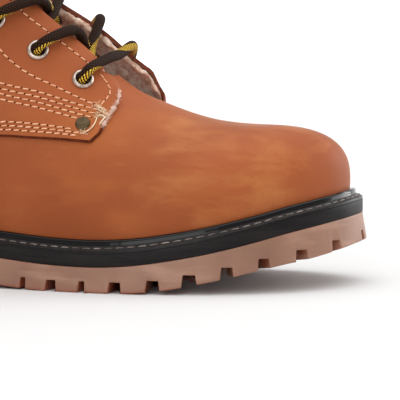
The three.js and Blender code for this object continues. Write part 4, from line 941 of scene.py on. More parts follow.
def on_upper(at, side, out, offset):
    """The same place moved off the surface by an offset."""
    along_it = on_crown(at + NEAR, side, out) - on_crown(at - NEAR, side, out)
    across_it = on_crown(at, side, out + NEAR) - on_crown(at, side, max(0, out - NEAR))
    base = on_crown(at, side, out)
    return base + unit(np.cross(across_it, along_it) * side) * offset(base)


def outside(point):
    return float(QUARTER_LAYER + flap_lift(point[None])[0])


def halved(low, high, too_low):
    """Where a test of a number stops being true, found by halving."""
    for _ in range(HALVINGS):
        middle = (low + high) / 2
        low, high = (middle, high) if too_low(middle) else (low, middle)
    return low


def section_through(x, side, out):
    return halved(0.0, float(LAST_SECTION), lambda at: on_crown(at, side, out)[0] > x)


def seat_on(at, side, out, width):
    """Where a small round piece sits on the quarter's face: a point and the way that it faces."""
    point = on_upper(at, side, out, outside)
    along_it = on_upper(at + NEAR, side, out, outside) - on_upper(at - NEAR, side, out, outside)
    across_it = on_upper(at, side, out + width / 2, outside) - on_upper(at, side, out - width / 2, outside)
    facing = unit(np.cross(across_it, along_it) * side)
    turn = Vector((0, 0, 1)).rotation_difference(Vector(facing))
    turns = 2 * math.pi * np.arange(SEAT_CHECKS) / SEAT_CHECKS
    spots = [(0, 0, 0), *zip(np.cos(turns), np.sin(turns), turns * 0)]
    stands = [0.0]
    for spot in spots:
        start = (turn @ (Vector(spot) * width / 2) + Vector(point) + Vector(facing) * width) * MM
        hit, _, _, distance = quarter_tree.ray_cast(start, -Vector(facing), width * 2 * MM)
        if hit is not None:
            stands.append(width - distance / MM)
    return point + facing * max(stands), facing


def eyelet_seats(side):
    first = section_through(float(x_at(FIRST_EYELET)), side, eyelet_out)
    at = np.arange(first, LAST_SECTION, NEAR)
    path = np.array([on_crown(a, side, eyelet_out) for a in at])
    travelled = distance_along(path)
    places = np.linspace(0, travelled[-1] - COLLAR_MARGIN, EYELET_PAIRS)
    return [seat_on(float(a), side, eyelet_out, eyelet_width) for a in np.interp(places, travelled, at)]


def turned(name, profile, point, facing, sides=48):
    """A ring or disc turned on its own axis and set on a seat: the profile's radii and heights."""
    turn = Vector((0, 0, 1)).rotation_difference(Vector(facing)).to_matrix()
    points = []
    for radius, height in profile:
        for k in range(sides):
            spin = 2 * math.pi * k / sides
            spot = turn @ Vector((radius * math.cos(spin), radius * math.sin(spin), height))
            points.append(np.array(spot) + point)
    faces = ladder(len(profile), sides)
    if profile[0] == profile[-1]:
        points = points[:-sides]
        faces = [tuple(i % len(points) for i in face) for face in faces]
    thing = mesh_object(name, points, faces, 50)
    thing.modifiers.new("joined on the axis", "WELD").merge_threshold = 0.001 * MM
    bake(thing)
    return thing


seats = {"lateral": eyelet_seats(-1), "medial": eyelet_seats(1)}
radius = eyelet_bore / 2 + EYELET_WALL + CLEARANCE
drill = [(r, eyelet_barrel * 2 * end) for r, end in ((0, -1), (radius, -1), (radius, 1), (0, 1))]
drills = [turned("drill", drill, point, facing, 32) for point, facing in seats["lateral"] + seats["medial"]]
carve(quarters, drills, "DIFFERENCE")
smooth_below(quarters.data, 45)

# Pewter-plated brass, pressed and tumbled: a soft grey-brown gleam with darker tarnish in the hollows.
pewter = mottled(
    "tumbled pewter plate", 1.8, "#cbbcb0", "#7d6a5e", 0.42, 0.8, (4, 0.65), [(0.5, 0.03, 2)],
    Metallic=1.0, Roughness=0.38,
)
bore = eyelet_bore / 2
rolled = zip(bore + EYELET_RIM * np.array(PRESSED_RIM["out"]), EYELET_FLANGE * np.array(PRESSED_RIM["up"]))
behind = [(bore + EYELET_WALL, -eyelet_barrel)]
rolled = [*behind, (bore + EYELET_WALL, 0), *rolled, (bore, 0), (bore, -eyelet_barrel), *behind]
for side, pairs in seats.items():
    for number, (point, facing) in enumerate(pairs, 1):
        ring = turned(f"eyelet_ring_{side}_{number}", rolled, point, facing)
        coat(ring, pewter)
        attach(ring, "root")
        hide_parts(f"eyelet_{side}_{number}")

# The rivets. A flat brass cap, pressed over a post, holds each quarter's lower corner to the vamp. The
# brass has gone dull and brown, with only a dim gleam left.
RIVET_WIDTH = 6.5
RIVET_HEIGHT = 1.3
RIVET_ALONG = 0.6307
RIVET_OUT = {"lateral": 0.64, "medial": 0.58}
RIVET_CAP = {
    "out": [0, 0.36, 0.43, 0.47, 0.495, 0.5, 0.5, 0],
    "up": [0.5, 0.5, 0.46, 0.36, 0.2, 0.05, -0.1, -0.1],
}
dark_brass = mottled(
    "dulled brass", 2.2, "#63543f", "#463726", 0.4, 0.72, (4, 0.7), [(0.6, 0.05, 3)],
    Metallic=1.0, Roughness=0.58,
)
cap = [(RIVET_WIDTH * out, RIVET_HEIGHT * up) for out, up in zip(RIVET_CAP["out"], RIVET_CAP["up"])]
for side, out in RIVET_OUT.items():
    sign = -1 if side == "lateral" else 1
    at = section_through(float(x_at(RIVET_ALONG)), sign, out * HALF_BALL)
    rivet = turned(f"rivet_cap_{side}", cap, *seat_on(at, sign, out * HALF_BALL, RIVET_WIDTH), 40)
    coat(rivet, dark_brass)
    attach(rivet, "root")
    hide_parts(f"rivet_{side}")

# The quarters' seams. Lines of lockstitch in a thick cream thread: three rows along the lower edge, a band
# of four over them, one row under the lacing, one along the facings, two under the collar and two down the
# back.
STITCH = {"pitch": 3.6, "length": 2.75, "width": 0.66, "height": 0.5, "proud": 0.55, "slant": 0.13}
HOLE = {"pitch": 3.6, "length": 0.72, "width": 0.66, "height": 0.25, "phase": 0}
SEAM_OFFSETS = (2.1, 3.75, 5.4)
SEAM_SHORT = (7, 3, 9)
SEAM_CLOSING = {"by": 0.35, "from": 0.54, "to": 0.65}
BAND = {
    "along": [0.012, 0.03, 0.11, 0.22, 0.33, 0.42, 0.506, 0.5657, 0.615, 0.648],
    "top": [1.735, 1.735, 1.69, 1.6, 1.43, 1.275, 1.13, 1.077, 1.018, 0.984],
    "bottom": [1.655, 1.655, 1.61, 1.52, 1.35, 1.195, 1.045, 0.994, 0.945, 0.915],
}
COLLAR_ROWS = (4, 7)
BACK_ROW = 3
BACK_ROW_FOOT = 34
FACING_ROW = 4
FACING_ROW_STOP = 0.35
STANDING_OFF = 9
SHAFT_MIDDLE = 23
SHAFT_RADIUS = 55
COLLAR_TURN = 148
HEEL_TURN = 89
BAND_ENDS = {"share": [0, 0.333, 0.667, 1], "along": [0.648, 0.646, 0.646, 0.63]}
UNDER_LACING = {
    "along": [0.43, 0.437, 0.455, 0.48, 0.503, 0.533, 0.589, 0.64, 0.652],
    "height": [2.2, 2.0, 1.7, 1.45, 1.31, 1.21, 1.103, 1.016, 1.0],
}
CORNER_ROW = {
    "along": [0.6415, 0.6487, 0.6545, 0.6585, 0.6592, 0.6565, 0.653, 0.6487],
    "height": [1.171, 1.14, 1.115, 1.09, 1.065, 1.044, 1.024, 1.0],
}


def laid_on(starts, way):
    """Points thrown on the quarters' outer face: where they land, and the ways that it faces there."""
    line, facing = [], []
    for start, thrown in zip(starts, np.broadcast_to(way, np.shape(starts))):
        hit, normal, _, _ = quarter_tree.ray_cast(Vector(start) * MM, Vector(thrown))
        if hit is not None:
            line.append(np.array(hit) / MM)
            facing.append(np.array(normal))
    return np.array(line), np.array(facing)


def on_side(points, side):
    """Side-view points laid on the quarters' outer face."""
    return laid_on([(x, side * CLEAR_OF_BOOT, z) for x, z in points], (0, -side, 0))


def round_shaft(turn, steps, height):
    """A row round the shaft, so many degrees to each side of the heel."""
    turns = np.radians(np.linspace(-turn, turn, steps))
    out = np.column_stack([-np.cos(turns), np.sin(turns), turns * 0])
    heights = np.broadcast_to(height(SHAFT_MIDDLE + out[:, 0] * SHAFT_RADIUS), steps)
    middle = np.column_stack([turns * 0 + SHAFT_MIDDLE, turns * 0, heights])
    return laid_on(middle + out * CLEAR_OF_BOOT, -out)


def steady(facing, width=9):
    """Ways evened out along a row, so that flat faces don't show."""
    padded = np.pad(facing, ((width, width), (0, 0)), "edge")
    kernel = np.ones(2 * width + 1) / (2 * width + 1)
    return np.stack([np.convolve(padded[:, c], kernel, "valid") for c in range(3)], axis=1)


def along_facing(side):
    places = np.linspace(pair_places[0], LAST_SECTION - FACING_ROW_STOP, 60)
    line = np.array([on_upper(at, side, facing_edge + FACING_ROW, outside) for at in places])
    off_it = [on_upper(at, side, facing_edge + FACING_ROW, lambda p: STANDING_OFF) for at in places]
    return line, unit(off_it - line)


pair_places = [section_through(float(point[0]), -1, eyelet_out) for point, _ in seats["lateral"]]
rows = []
for share, stop in zip(BAND_ENDS["share"], BAND_ENDS["along"]):
    height = np.array(BAND["top"]) * (1 - share) + np.array(BAND["bottom"]) * share
    height_at = curve({"along": BAND["along"], "height": height}, "along", "height")
    sides = []
    for side in (-1, 1):
        x = np.linspace(SHAFT_MIDDLE, float(x_at(stop)), 200)
        sides.append(on_side(np.column_stack([x, height_at(share_at(x)) * INSTEP_HEIGHT]), side))
    heel = round_shaft(HEEL_TURN, 140, lambda x: height_at(share_at(x)) * INSTEP_HEIGHT)
    rows.append(tuple(np.concatenate([a[::-1], b, c]) for a, b, c in zip(sides[0], heel, sides[1])))
edge_line = smooth_line(side_line(QUARTER_EDGE), 160)
edge_way = unit(np.gradient(edge_line, axis=0))
edge_out = np.stack([-edge_way[:, 1], edge_way[:, 0]], axis=1)
closing = smooth(edge_line[:, 0], *x_at((SEAM_CLOSING["from"], SEAM_CLOSING["to"])))
closing = 1 - SEAM_CLOSING["by"] * closing[:, None]
for side in (-1, 1):
    for away, short in zip(SEAM_OFFSETS, SEAM_SHORT):
        rows.append(on_side((edge_line + edge_out * away * closing)[:-short], side))
    rows.append(on_side(smooth_line(side_line(UNDER_LACING), 120), side))
rows.append(on_side(smooth_line(side_line(CORNER_ROW), 40), -1))
for below in COLLAR_ROWS:
    rows.append(round_shaft(COLLAR_TURN, 240, lambda x: COLLAR_HEIGHT - below))
for side in (-1, 1):
    rows.append(along_facing(side))
    heights = np.linspace(BACK_ROW_FOOT, COLLAR_HEIGHT - COLLAR_ROWS[-1] - 1, 120)
    back = np.array([(0, side * BACK_ROW, height) for height in heights])
    rows.append(laid_on(back - [CLEAR_OF_BOOT, 0, 0], (1, 0, 0)))
rows = [(line, steady(facing)) for line, facing in rows]

# Bonded thread: round, hard-laid and waxed, pale with a peach cast from the leather under it.
cream_thread = mottled("waxed cream thread", 1.2, "#e6b08a", "#c98a5f", 0.4, 0.7, (2,), Roughness=0.55)
# The needle holes are not cut: a flat dark patch at each one is painted shade for the hole.
painted_hole_shade, _, surface, _ = new_material("painted shade in needle holes", Roughness=1, Specular_IOR_Level=0)
surface.inputs["Base Color"].default_value = linear("#2e1006")
sew("quarter_stitches", rows, cream_thread, "nubuck", **STITCH)
sew("quarter_needle_hole_shade", rows, painted_hole_shade, "nubuck", **HOLE)

# The dark edge. The quarters' lower edge carries a dark red-brown dye in a fine bead along it, dull and a
# little rough;
# the same cord, set a little behind and under the edge, is painted shadow under it too. At the outer side's
# corner it turns up a little way.
EDGE_DYE_AND_SHADOW = {"radius": 0.62, "under": 0.35, "behind": 0.9}
TURNS_UP = slice(1, 6)
OFF_EVERY_THREAD = (0.31, 0.42, 0.85)
edge_dye_and_shadow = mottled(
    "edge dye and painted shadow", 1.2, "#431507", "#6b2a10", blotch=(3, 0.7), bumps=[(0.9, 0.3, 3, 0.7)],
    Roughness=0.8, Specular_IOR_Level=0.2,
)


def ring_round(spot, first, second, size, sides):
    """Points evenly round a spot, on the plane of two ways."""
    turns = 2 * math.pi * np.arange(sides) / sides
    return spot + (np.outer(np.cos(turns), first) + np.outer(np.sin(turns), second)) * size


def ring_across(spot, way, size, sides):
    """Points evenly round a spot, square to the way of a thread."""
    first = unit(np.cross(way, OFF_EVERY_THREAD))
    return ring_round(spot, first, np.cross(way, first), size, sides)


def cord_along(name, line, radius, sides=8):
    """A round line, closed at both ends; its radius is a number or one value a point."""
    ways = unit(np.gradient(line, axis=0))
    rings = [ring_across(*at, sides) for at in zip(line, ways, np.broadcast_to(radius, len(line)))]
    faces = ladder(len(line), sides) + end_faces((len(line) - 1) * sides, sides)
    return mesh_object(name, np.concatenate(rings), faces, 60)


edge_points = np.concatenate([edge_line, smooth_line(side_line(LATERAL_FRONT), 60)[TURNS_UP]])
for side, name in ((-1, "lateral"), (1, "medial")):
    line, facing = on_side((edge_points if side < 0 else edge_line) + [0, EDGE_DYE_AND_SHADOW["under"]], side)
    facing = steady(facing)
    inward = unit(np.cross(facing, np.gradient(line, axis=0)) * -side)
    line = line - facing * EDGE_DYE_AND_SHADOW["behind"] - inward * EDGE_DYE_AND_SHADOW["under"] * 1.5
    # The cord is edge dye and painted shadow under the edge together.
    dye_and_shadow_cord = cord_along(f"edge_dye_and_shadow_{name}", line, EDGE_DYE_AND_SHADOW["radius"])
    coat(dye_and_shadow_cord, edge_dye_and_shadow)
    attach(dye_and_shadow_cord, "root")

# The lining. Cream wool fleece, glued inside the quarters with its curls inward. It shows at the collar,
# along the facings and under the raised flaps.
FLEECE = 2.4
PEEK = 0.7
LINING_GAP = 0.04
WOOL_MESH = 1.32
CURLS = {"across": 4.2, "rise": 2.2, "sunk": 0.62}
lining = last_form("fleece_lining", lambda p: under_flap(p) + LINING_GAP, 0, PEEK)
core = last_form("core", lambda p: under_flap(p) - FLEECE, CUT_THROUGH, CUT_THROUGH)
carve(lining, [core], "DIFFERENCE")
carve(lining, [both_sides()], "INTERSECT")
carve(lining, [throat_cut(FACINGS, PEEK)], "DIFFERENCE")
remesh = lining.modifiers.new("even mesh", "REMESH")
remesh.mode = "VOXEL"
remesh.voxel_size = WOOL_MESH * MM
clumps = bpy.data.textures.new("curls", "CLOUDS")
clumps.noise_scale = CURLS["across"] * MM
clumps.noise_depth = 1
curled = lining.modifiers.new("curls", "DISPLACE")
curled.texture = clumps
curled.texture_coords = "LOCAL"
curled.strength = CURLS["rise"] * MM
curled.mid_level = CURLS["sunk"]
bake(lining)
lining.data.shade_smooth()
# Wool scatters light: curls in two creams with paler tips, soft and with no gloss. Where little open air is
# near, in the depths between the curls and in the gap under the raised flap, the colour is painted dark
# brown: painted shade.
wool, tree, surface, place = new_material(
    "curled wool fleece", Roughness=0.95, Sheen_Weight=0.2, Sheen_Roughness=0.6)
curls = laid_over(tree, blotches(tree, place, 3.2, 3, 0.6), linear("#ffe9d4"), linear("#dba888"), 0.4, 0.62)
tips = laid_over(tree, blotches(tree, place, 1.1, 3, 0.7), curls, linear("#fff3e6"), 0.5, 0.7)
open_air = add_node(tree, "ShaderNodeAmbientOcclusion", {"Distance": 0.009}, samples=6).outputs["AO"]
# Painted shade: dark brown where the AO node finds little open air.
painted_depth_shade = laid_over(tree, open_air, linear("#1f0f08"), tips, 0.03, 0.22)
tree.links.new(painted_depth_shade, surface.inputs["Base Color"])
relief(tree, place, surface, [(0.7, 0.4, 3, 0.7), (2.4, 0.9, 3, 0.6)])
coat(lining, wool)
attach(lining, "root")

# The insole. A board of pressed grey-brown felt that lies loose inside the upper. It keeps its CAD form.
# Felt is matt and speckled, with no nap to speak of.
felt = mottled(
    "pressed felt", 2, "#a98a72", "#7d5d48", blotch=(4, 0.7), bumps=[(0.9, 0.4, 3, 0.7)], Roughness=0.95)
coat(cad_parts["insole"], felt)

# The tongue. Two layers of nubuck and fleece, sewn in under the vamp's throat. It lies under the laces
# and stands out over the collar.
TONGUE_THICKNESS = 3.4
TONGUE_ROOM = 3
TONGUE_OVER = 14
TONGUE = {
    "at": [3.4, 3.8, 4.3, 4.8, 5.3, 6, 7, 12, 14, 15, 16.9],
    "width": [0.3, 0.36, 0.42, 0.48, 0.52, 0.55, 0.57, 0.57, 0.59, 0.6, 0.6],
}
TONGUE_SINKS = (4.2, 5.6)
TONGUE_END = {"over": [0.15, 0.3, 0.45, 0.6, 0.75, 0.9, 1], "width": [1, 1, 0.99, 0.98, 0.97, 0.96, 0.95]}
TONGUE_CORNERS = {"lower": 0.75, "power": 5}
TONGUE_EDGES = 8
TONGUE_COLUMNS = 28
TONGUE_STEP = 0.25
tongue_depth = LEATHER + TONGUE_ROOM
across_tongue = np.linspace(-1, 1, TONGUE_COLUMNS + 1)


def tongue_row(at, width, offset):
    return np.array([
        on_upper(at, -1 if share < 0 else 1, abs(share) * width * HALF_BALL, lambda p: offset)
        for share in across_tongue
    ])


shallow = LEATHER + CLEARANCE * 2
width_at = curve(TONGUE, "at", "width")
outer, inner = [], []
for at in np.arange(TONGUE["at"][0], TONGUE["at"][-1] + 0.01, TONGUE_STEP):
    sunk = shallow + (tongue_depth - shallow) * float(smooth(at, *TONGUE_SINKS))
    outer.append(tongue_row(float(at), float(width_at(at)), -sunk))
    inner.append(tongue_row(float(at), float(width_at(at)), -sunk - TONGUE_THICKNESS))
tongue_way = unit(outer[-1][TONGUE_COLUMNS // 2] - outer[-3][TONGUE_COLUMNS // 2])
for face in (outer, inner):
    end = face[-1]
    for over, width in zip(TONGUE_END["over"], TONGUE_END["width"]):
        lower = TONGUE_CORNERS["lower"] * over * np.abs(across_tongue) ** TONGUE_CORNERS["power"]
        rises = over * (1 - lower)
        face.append((end + np.multiply.outer(rises, tongue_way) * TONGUE_OVER) * [1, width, 1])
full = (1 - np.abs(across_tongue) ** TONGUE_EDGES)[None, :, None] ** 0.5
outer, inner = np.array(outer), np.array(inner)
middle = (outer + inner) / 2
outer, inner = middle + (outer - middle) * full, middle + (inner - middle) * full
tongue_points = np.concatenate([outer, inner[:, ::-1]], axis=1)
around = tongue_points.shape[1]
tongue_faces = ladder(len(tongue_points), around)
for row in (0, len(tongue_points) - 1):
    for c in range(TONGUE_COLUMNS):
        near, far = row * around + c, row * around + around - 1 - c
        tongue_faces.append((near, near + 1, far - 1, far))
tongue = mesh_object("tongue_padded", tongue_points.reshape(-1, 3), tongue_faces, 60)
coat(tongue, nubuck, wool)
for face in tongue.data.polygons:
    face.material_index = 0 if face.normal @ Vector(throat_normal) > -0.2 else 1
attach(tongue, "root")
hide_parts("tongue")

# The lace. A round braided cord in six lengths, a bar over the lowest pair of eyelets and five crossings.
# Each is threaded through its eyelets, and lies over the facings and across the tongue.
BAR_SAG = 0.15
CROSSING_WAY = {"edge": 0.1, "middle": 0.45, "end": 0.75}
CROSSED = (0.15, 0.65)
CROSSING_STOP = 0.85
LACE_SIDES = 16
LACE_STEP = 0.8
LACE_BEND = {"stands": 0.15, "over": 0.68, "ahead": 0.65}
STRAND_PITCH = 1.4
STRANDS_ROUND = 8
LACE_TWIST = -0.2
LACE_START = 87.2
YELLOW_STRANDS = 2
FLECK_RISES = (0.72, 0.2)
STRAND_RISE = 0.35


def out_of_eyelet(seat_point, facing, toward):
    """A lace's first points: inside the eyelet, just out of it, and bent over its rim."""
    way = toward - seat_point
    way = unit(way - facing * (way @ facing))
    over_rim = EYELET_FLANGE + CLEARANCE + LACE_WIDTH * LACE_BEND["over"]
    return [
        seat_point - facing * EYELET_FLANGE,
        seat_point + facing * (EYELET_FLANGE + LACE_WIDTH * LACE_BEND["stands"]),
        seat_point + facing * over_rim + way * LACE_WIDTH * LACE_BEND["ahead"],
    ]


def over_edge(at, side):
    """Where a lace lies on a facing's edge."""
    out = halved(0.0, facing_edge, lambda out: abs(on_upper(at, side, out, outside)[1]) < facing_edge)
    point, facing = seat_on(at, side, out, LACE_WIDTH)
    return point + facing * (LACE_WIDTH / 2 + CLEARANCE * 3)


def lace_route(points):
    """A smooth route through points, its speed set by the square root of each chord, as a cord bends."""
    points = np.array(points)
    chord = np.sqrt(np.linalg.norm(np.diff(points, axis=0), axis=1))
    table = {"at": np.concatenate([[0], np.cumsum(chord)]), **{str(k): points[:, k] for k in range(3)}}
    where = np.linspace(0, table["at"][-1], 16 * len(points))
    route = np.stack([curve(table, "at", str(k))(where) for k in range(3)], axis=1)
    travelled = distance_along(route)
    even = np.linspace(0, travelled[-1], round(travelled[-1] / LACE_STEP))
    return np.stack([np.interp(even, travelled, route[:, k]) for k in range(3)], axis=1)


def braided(name, routes):
    """Round cord along routes as one mesh. Its UV map holds millimetres along it and turns round it."""
    points, faces, lengths = [], [], []
    for route in routes:
        ways = unit(np.gradient(route, axis=0))
        side_way = unit(np.cross(ways[0], [0, 1, 0.3]))
        first = len(lengths)
        for spot, way, travelled in zip(route, ways, distance_along(route)):
            side_way = unit(side_way - way * (side_way @ way))
            points.append(ring_round(spot, side_way, np.cross(way, side_way), LACE_WIDTH / 2, LACE_SIDES))
            lengths += [(travelled, i / LACE_SIDES) for i in range(LACE_SIDES)]
        faces += [tuple(i + first for i in face) for face in ladder(len(route), LACE_SIDES)]
        faces += end_faces(first + (len(route) - 1) * LACE_SIDES, LACE_SIDES, first)
    mesh = bpy.data.meshes.new(name)
    mesh.from_pydata([tuple(p) for p in np.concatenate(points) * MM], [], faces)
    layer = mesh.uv_layers.new(name="along_and_around")
    for face in mesh.polygons:
        turns = [lengths[v][1] for v in face.vertices]
        wraps = max(turns) - min(turns) > 0.5 and len(turns) == 4
        for loop, v in zip(face.loop_indices, face.vertices):
            along_it, turn = lengths[v]
            layer.data[loop].uv = (along_it, turn + 1 if wraps and turn < 0.5 else turn)
    smooth_below(mesh, 60)
    return put_in_scene(name, mesh)


# Braided polyester: two sets of strands that cross, dark brown on their humps and painted near black in the
# grooves between them as painted shade, with a fleck of yellow where the coloured strands come to the top.
# Each strand is a low round hump, and the yarn is nearly matt.
braid, tree, surface, place = new_material("braided polyester", Roughness=0.7, Specular_IOR_Level=0.12)
uv_map = add_node(tree, "ShaderNodeUVMap").outputs[0]
along_around = add_node(tree, "ShaderNodeSeparateXYZ", {"Vector": uv_map})
along_it, around_it = along_around.outputs[0], along_around.outputs[1]
steps_along = add_node(tree, "ShaderNodeMath", {0: along_it, 1: STRAND_PITCH}, operation="DIVIDE").outputs[0]
steps_round = add_node(tree, "ShaderNodeMath", {0: around_it, 1: STRANDS_ROUND}, operation="MULTIPLY")
steps_round = steps_round.outputs[0]
humps = []
for crossing in ("ADD", "SUBTRACT"):
    hump = add_node(tree, "ShaderNodeMath", {0: steps_along, 1: steps_round}, operation=crossing).outputs[0]
    for step in ("MULTIPLY", "SINE", "ABSOLUTE"):
        hump = add_node(tree, "ShaderNodeMath", {0: hump, 1: math.pi}, operation=step).outputs[0]
    humps.append(hump)
strand = add_node(tree, "ShaderNodeMath", {0: humps[0], 1: humps[1]}, operation="MULTIPLY").outputs[0]
turned_on = add_node(tree, "ShaderNodeMath", {0: steps_round, 1: LACE_START}, operation="ADD").outputs[0]
wound = {0: along_it, 1: LACE_TWIST, 2: turned_on}
wound = add_node(tree, "ShaderNodeMath", wound, operation="MULTIPLY_ADD").outputs[0]
counted = add_node(tree, "ShaderNodeMath", {0: wound, 1: STRANDS_ROUND}, operation="MODULO").outputs[0]
fleck = add_node(tree, "ShaderNodeMath", {0: counted, 1: YELLOW_STRANDS}, operation="LESS_THAN").outputs[0]
for hump, on_top in zip(humps, FLECK_RISES):
    raised = add_node(tree, "ShaderNodeMath", {0: hump, 1: on_top}, operation="GREATER_THAN").outputs[0]
    fleck = add_node(tree, "ShaderNodeMath", {0: fleck, 1: raised}, operation="MULTIPLY").outputs[0]
# Painted shade: near black in the grooves between the strands, dark brown on their tops.
braid_with_painted_groove_shade = laid_over(tree, strand, linear("#0c0502"), linear("#3a2113"), 0.1, 0.8)
tree.links.new(laid_over(tree, fleck, braid_with_painted_groove_shade, linear("#f4c644"), 0.4, 0.6), surface.inputs["Base Color"])
strand_relief = {"Height": strand, "Distance": STRAND_RISE * MM, "Strength": 1.0}
strand_relief = add_node(tree, "ShaderNodeBump", strand_relief)
tree.links.new(strand_relief.outputs["Normal"], surface.inputs["Normal"])
lace_pieces = {}
from_edge, to_edge = over_edge(pair_places[0], -1), over_edge(pair_places[0], 1)
sagging = (from_edge + to_edge) / 2 - [0, 0, LACE_WIDTH * BAR_SAG]
bar = [
    *out_of_eyelet(*seats["lateral"][0], from_edge), from_edge, sagging, to_edge,
    *out_of_eyelet(*seats["medial"][0], to_edge)[::-1],
]
lace_pieces["bar"] = [lace_route(bar)]
for pair in range(1, EYELET_PAIRS):
    low_at, high_at = pair_places[pair - 1], pair_places[pair]
    on_tongue = -tongue_depth + CLEARANCE * 2 + LACE_WIDTH / 2
    across = {key: high_at + (low_at - high_at) * share for key, share in CROSSING_WAY.items()}
    routes = []
    for side, name, crossed in ((-1, "lateral", CROSSED[0]), (1, "medial", CROSSED[1])):
        stacked = on_tongue + crossed * LACE_WIDTH
        over = over_edge(across["edge"], side)
        middle = on_upper(across["middle"], side, 0, lambda p: stacked)
        end = on_upper(across["end"], -side, facing_edge - LACE_WIDTH * CROSSING_STOP, lambda p: on_tongue)
        routes.append(lace_route([*out_of_eyelet(*seats[name][pair], over), over, middle, end]))
    lace_pieces[f"crossing_{pair}"] = routes
for name, routes in lace_pieces.items():
    lace = braided(f"braided_{name}", routes)
    coat(lace, braid)
    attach(lace, "root")
    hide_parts(f"lace_{name}")

# Loose ends. Single fibres and small curls of the lining's wool that have worked out past the outer flap's
# front edge. Wool fibre is cream, dull and a little see-through, so it has a soft sheen.
FLAP_FIBRES = 420
TUFT_FIBRES = 60
FIBRE_JOINTS = 6
FIBRE_TAPER = 0.8
WOOL_FRONT = slice(5, 37)
TUFTS = {
    "share": [0.1, 0.16, 0.3, 0.42, 0.5, 0.58, 0.7, 0.86],
    "size": [1.3, 0.8, 0.6, 0.7, 1.0, 0.8, 0.9, 1.2],
}
wool_tip = mottled("loose wool fibre", 2, "#fbe8dc", "#dcb39c", Roughness=0.9, Sheen_Weight=0.4)
draw = np.random.default_rng(5)


def fibres_on(name, roots, material, lean, length, width, curl):
    """Fine curled fibres that grow from roots: points and the ways that they lean."""
    points, faces = [], []
    for root, out in roots:
        way = unit(out * lean + draw.normal(size=3))
        bend = draw.normal(size=3) * curl
        step = length * draw.uniform(0.45, 1.0) / (FIBRE_JOINTS - 1)
        first = len(points) * 3
        for k in range(FIBRE_JOINTS):
            thick = width * (1 - FIBRE_TAPER * k / (FIBRE_JOINTS - 1)) / 2
            points.append(ring_across(root, way, thick, 3))
            root = root + way * step
            way = unit(way + bend / FIBRE_JOINTS)
        faces += [tuple(i + first for i in face) for face in ladder(FIBRE_JOINTS, 3)]
        faces += end_faces(first + (FIBRE_JOINTS - 1) * 3, 3, first)
    thing = mesh_object(name, np.concatenate(points), faces, 60)
    coat(thing, material)
    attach(thing, "root")
    return thing


front = smooth_line(side_line(LATERAL_FRONT), 60)[WOOL_FRONT] - [0.12, 0]
line, facing = on_side(front, -1)
roots = []
for _ in range(FLAP_FIBRES):
    k = min(int(draw.beta(1.1, 1.1) * len(line)), len(line) - 1)
    roots.append((line[k] - facing[k] * draw.uniform(0.2, 1.5), facing[k] * 0.5 + np.array([0.8, 0, -0.1])))
fibres_on("flap_fibres", roots, wool_tip, lean=1.7, length=2.1, width=0.2, curl=2.4)
roots = []
for share, size in zip(TUFTS["share"], TUFTS["size"]):
    k = int(share * (len(line) - 1))
    for _ in range(int(TUFT_FIBRES * size)):
        spread = draw.normal(size=3) * 0.4 * size + [0.3, 0, 0]
        roots.append((line[k] + spread - facing[k] * 0.5, facing[k] + np.array([0.7, 0, 0])))
fibres_on("flap_tufts", roots, wool_tip, lean=1.0, length=1.5, width=0.24, curl=3.5)

# The frayed thread. Short broken ends of the cream thread cross at the outer flap's corner, and one runs
# down past the rivet. Where it is frayed the wax is gone, so it is paler and fluffy.
FRAYED_THICKNESS = 0.34
FRAYED_FIBRES = 34
FRAYED = [
    {"along": [0.634, 0.6436, 0.648, 0.6495], "height": [0.859, 0.88, 0.906, 0.944]},
    {"along": [0.649, 0.655, 0.6605], "height": [0.948, 0.951, 0.943]},
    {"along": [0.645, 0.652, 0.656, 0.6615], "height": [1.001, 0.992, 0.973, 0.951]},
    {"along": [0.6485, 0.654, 0.6635], "height": [0.985, 0.969, 0.957]},
    {"along": [0.647, 0.655, 0.66], "height": [0.993, 0.987, 0.972]},
    {"along": [0.6608, 0.6578, 0.6545], "height": [0.944, 0.925, 0.905]},
]
FRAYED_KNOTS = {
    "along": [0.645, 0.6475, 0.65, 0.654, 0.6575, 0.661, 0.6485, 0.6505, 0.635, 0.6325],
    "height": [1.0, 0.998, 0.99, 0.975, 0.962, 0.953, 0.95, 0.944, 0.863, 0.861],
}
frayed_thread = mottled("frayed cream thread", 1.5, "#f2dcbc", "#cda480", Roughness=0.8)
for number, broken_end in enumerate(FRAYED, 1):
    thread, facing = on_side(smooth_line(side_line(broken_end), 24), -1)
    arch = 0.35 + 0.25 * np.sin(np.linspace(0, math.pi, len(thread)))
    thread = thread + steady(facing, 3) * arch[:, None]
    thickness = FRAYED_THICKNESS * np.sin(np.linspace(0.5, 2.7, len(thread))) ** 0.5
    frayed = cord_along(f"frayed_thread_{number}", thread, thickness, 6)
    coat(frayed, frayed_thread)
    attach(frayed, "root")
roots = []
for spot, out in zip(*on_side(side_line(FRAYED_KNOTS), -1)):
    for _ in range(FRAYED_FIBRES):
        roots.append((spot + draw.normal(size=3) * [1.0, 0.3, 0.8], out))
fibres_on("frayed_ends", roots, frayed_thread, lean=0.5, length=1.9, width=0.22, curl=4.0)

# The collar's wool. Loose fibres of the lining stand past the collar's edge all the way round, where the
# fleece is only trimmed.
COLLAR_FIBRES = 900
line, facing = round_shaft(COLLAR_TURN, 300, lambda x: COLLAR_HEIGHT - 0.6)
roots = []
for _ in range(COLLAR_FIBRES):
    k = draw.integers(0, len(line))
    outward = facing[k] * [1, 1, 0]
    root = line[k] - unit(outward) * draw.uniform(2.0, 3.6) + [0, 0, 0.9]
    roots.append((root, np.array([0, 0, 1.0]) - outward * 0.4))
fibres_on("collar_fibres", roots, wool_tip, lean=1.2, length=2.2, width=0.22, curl=2.5)

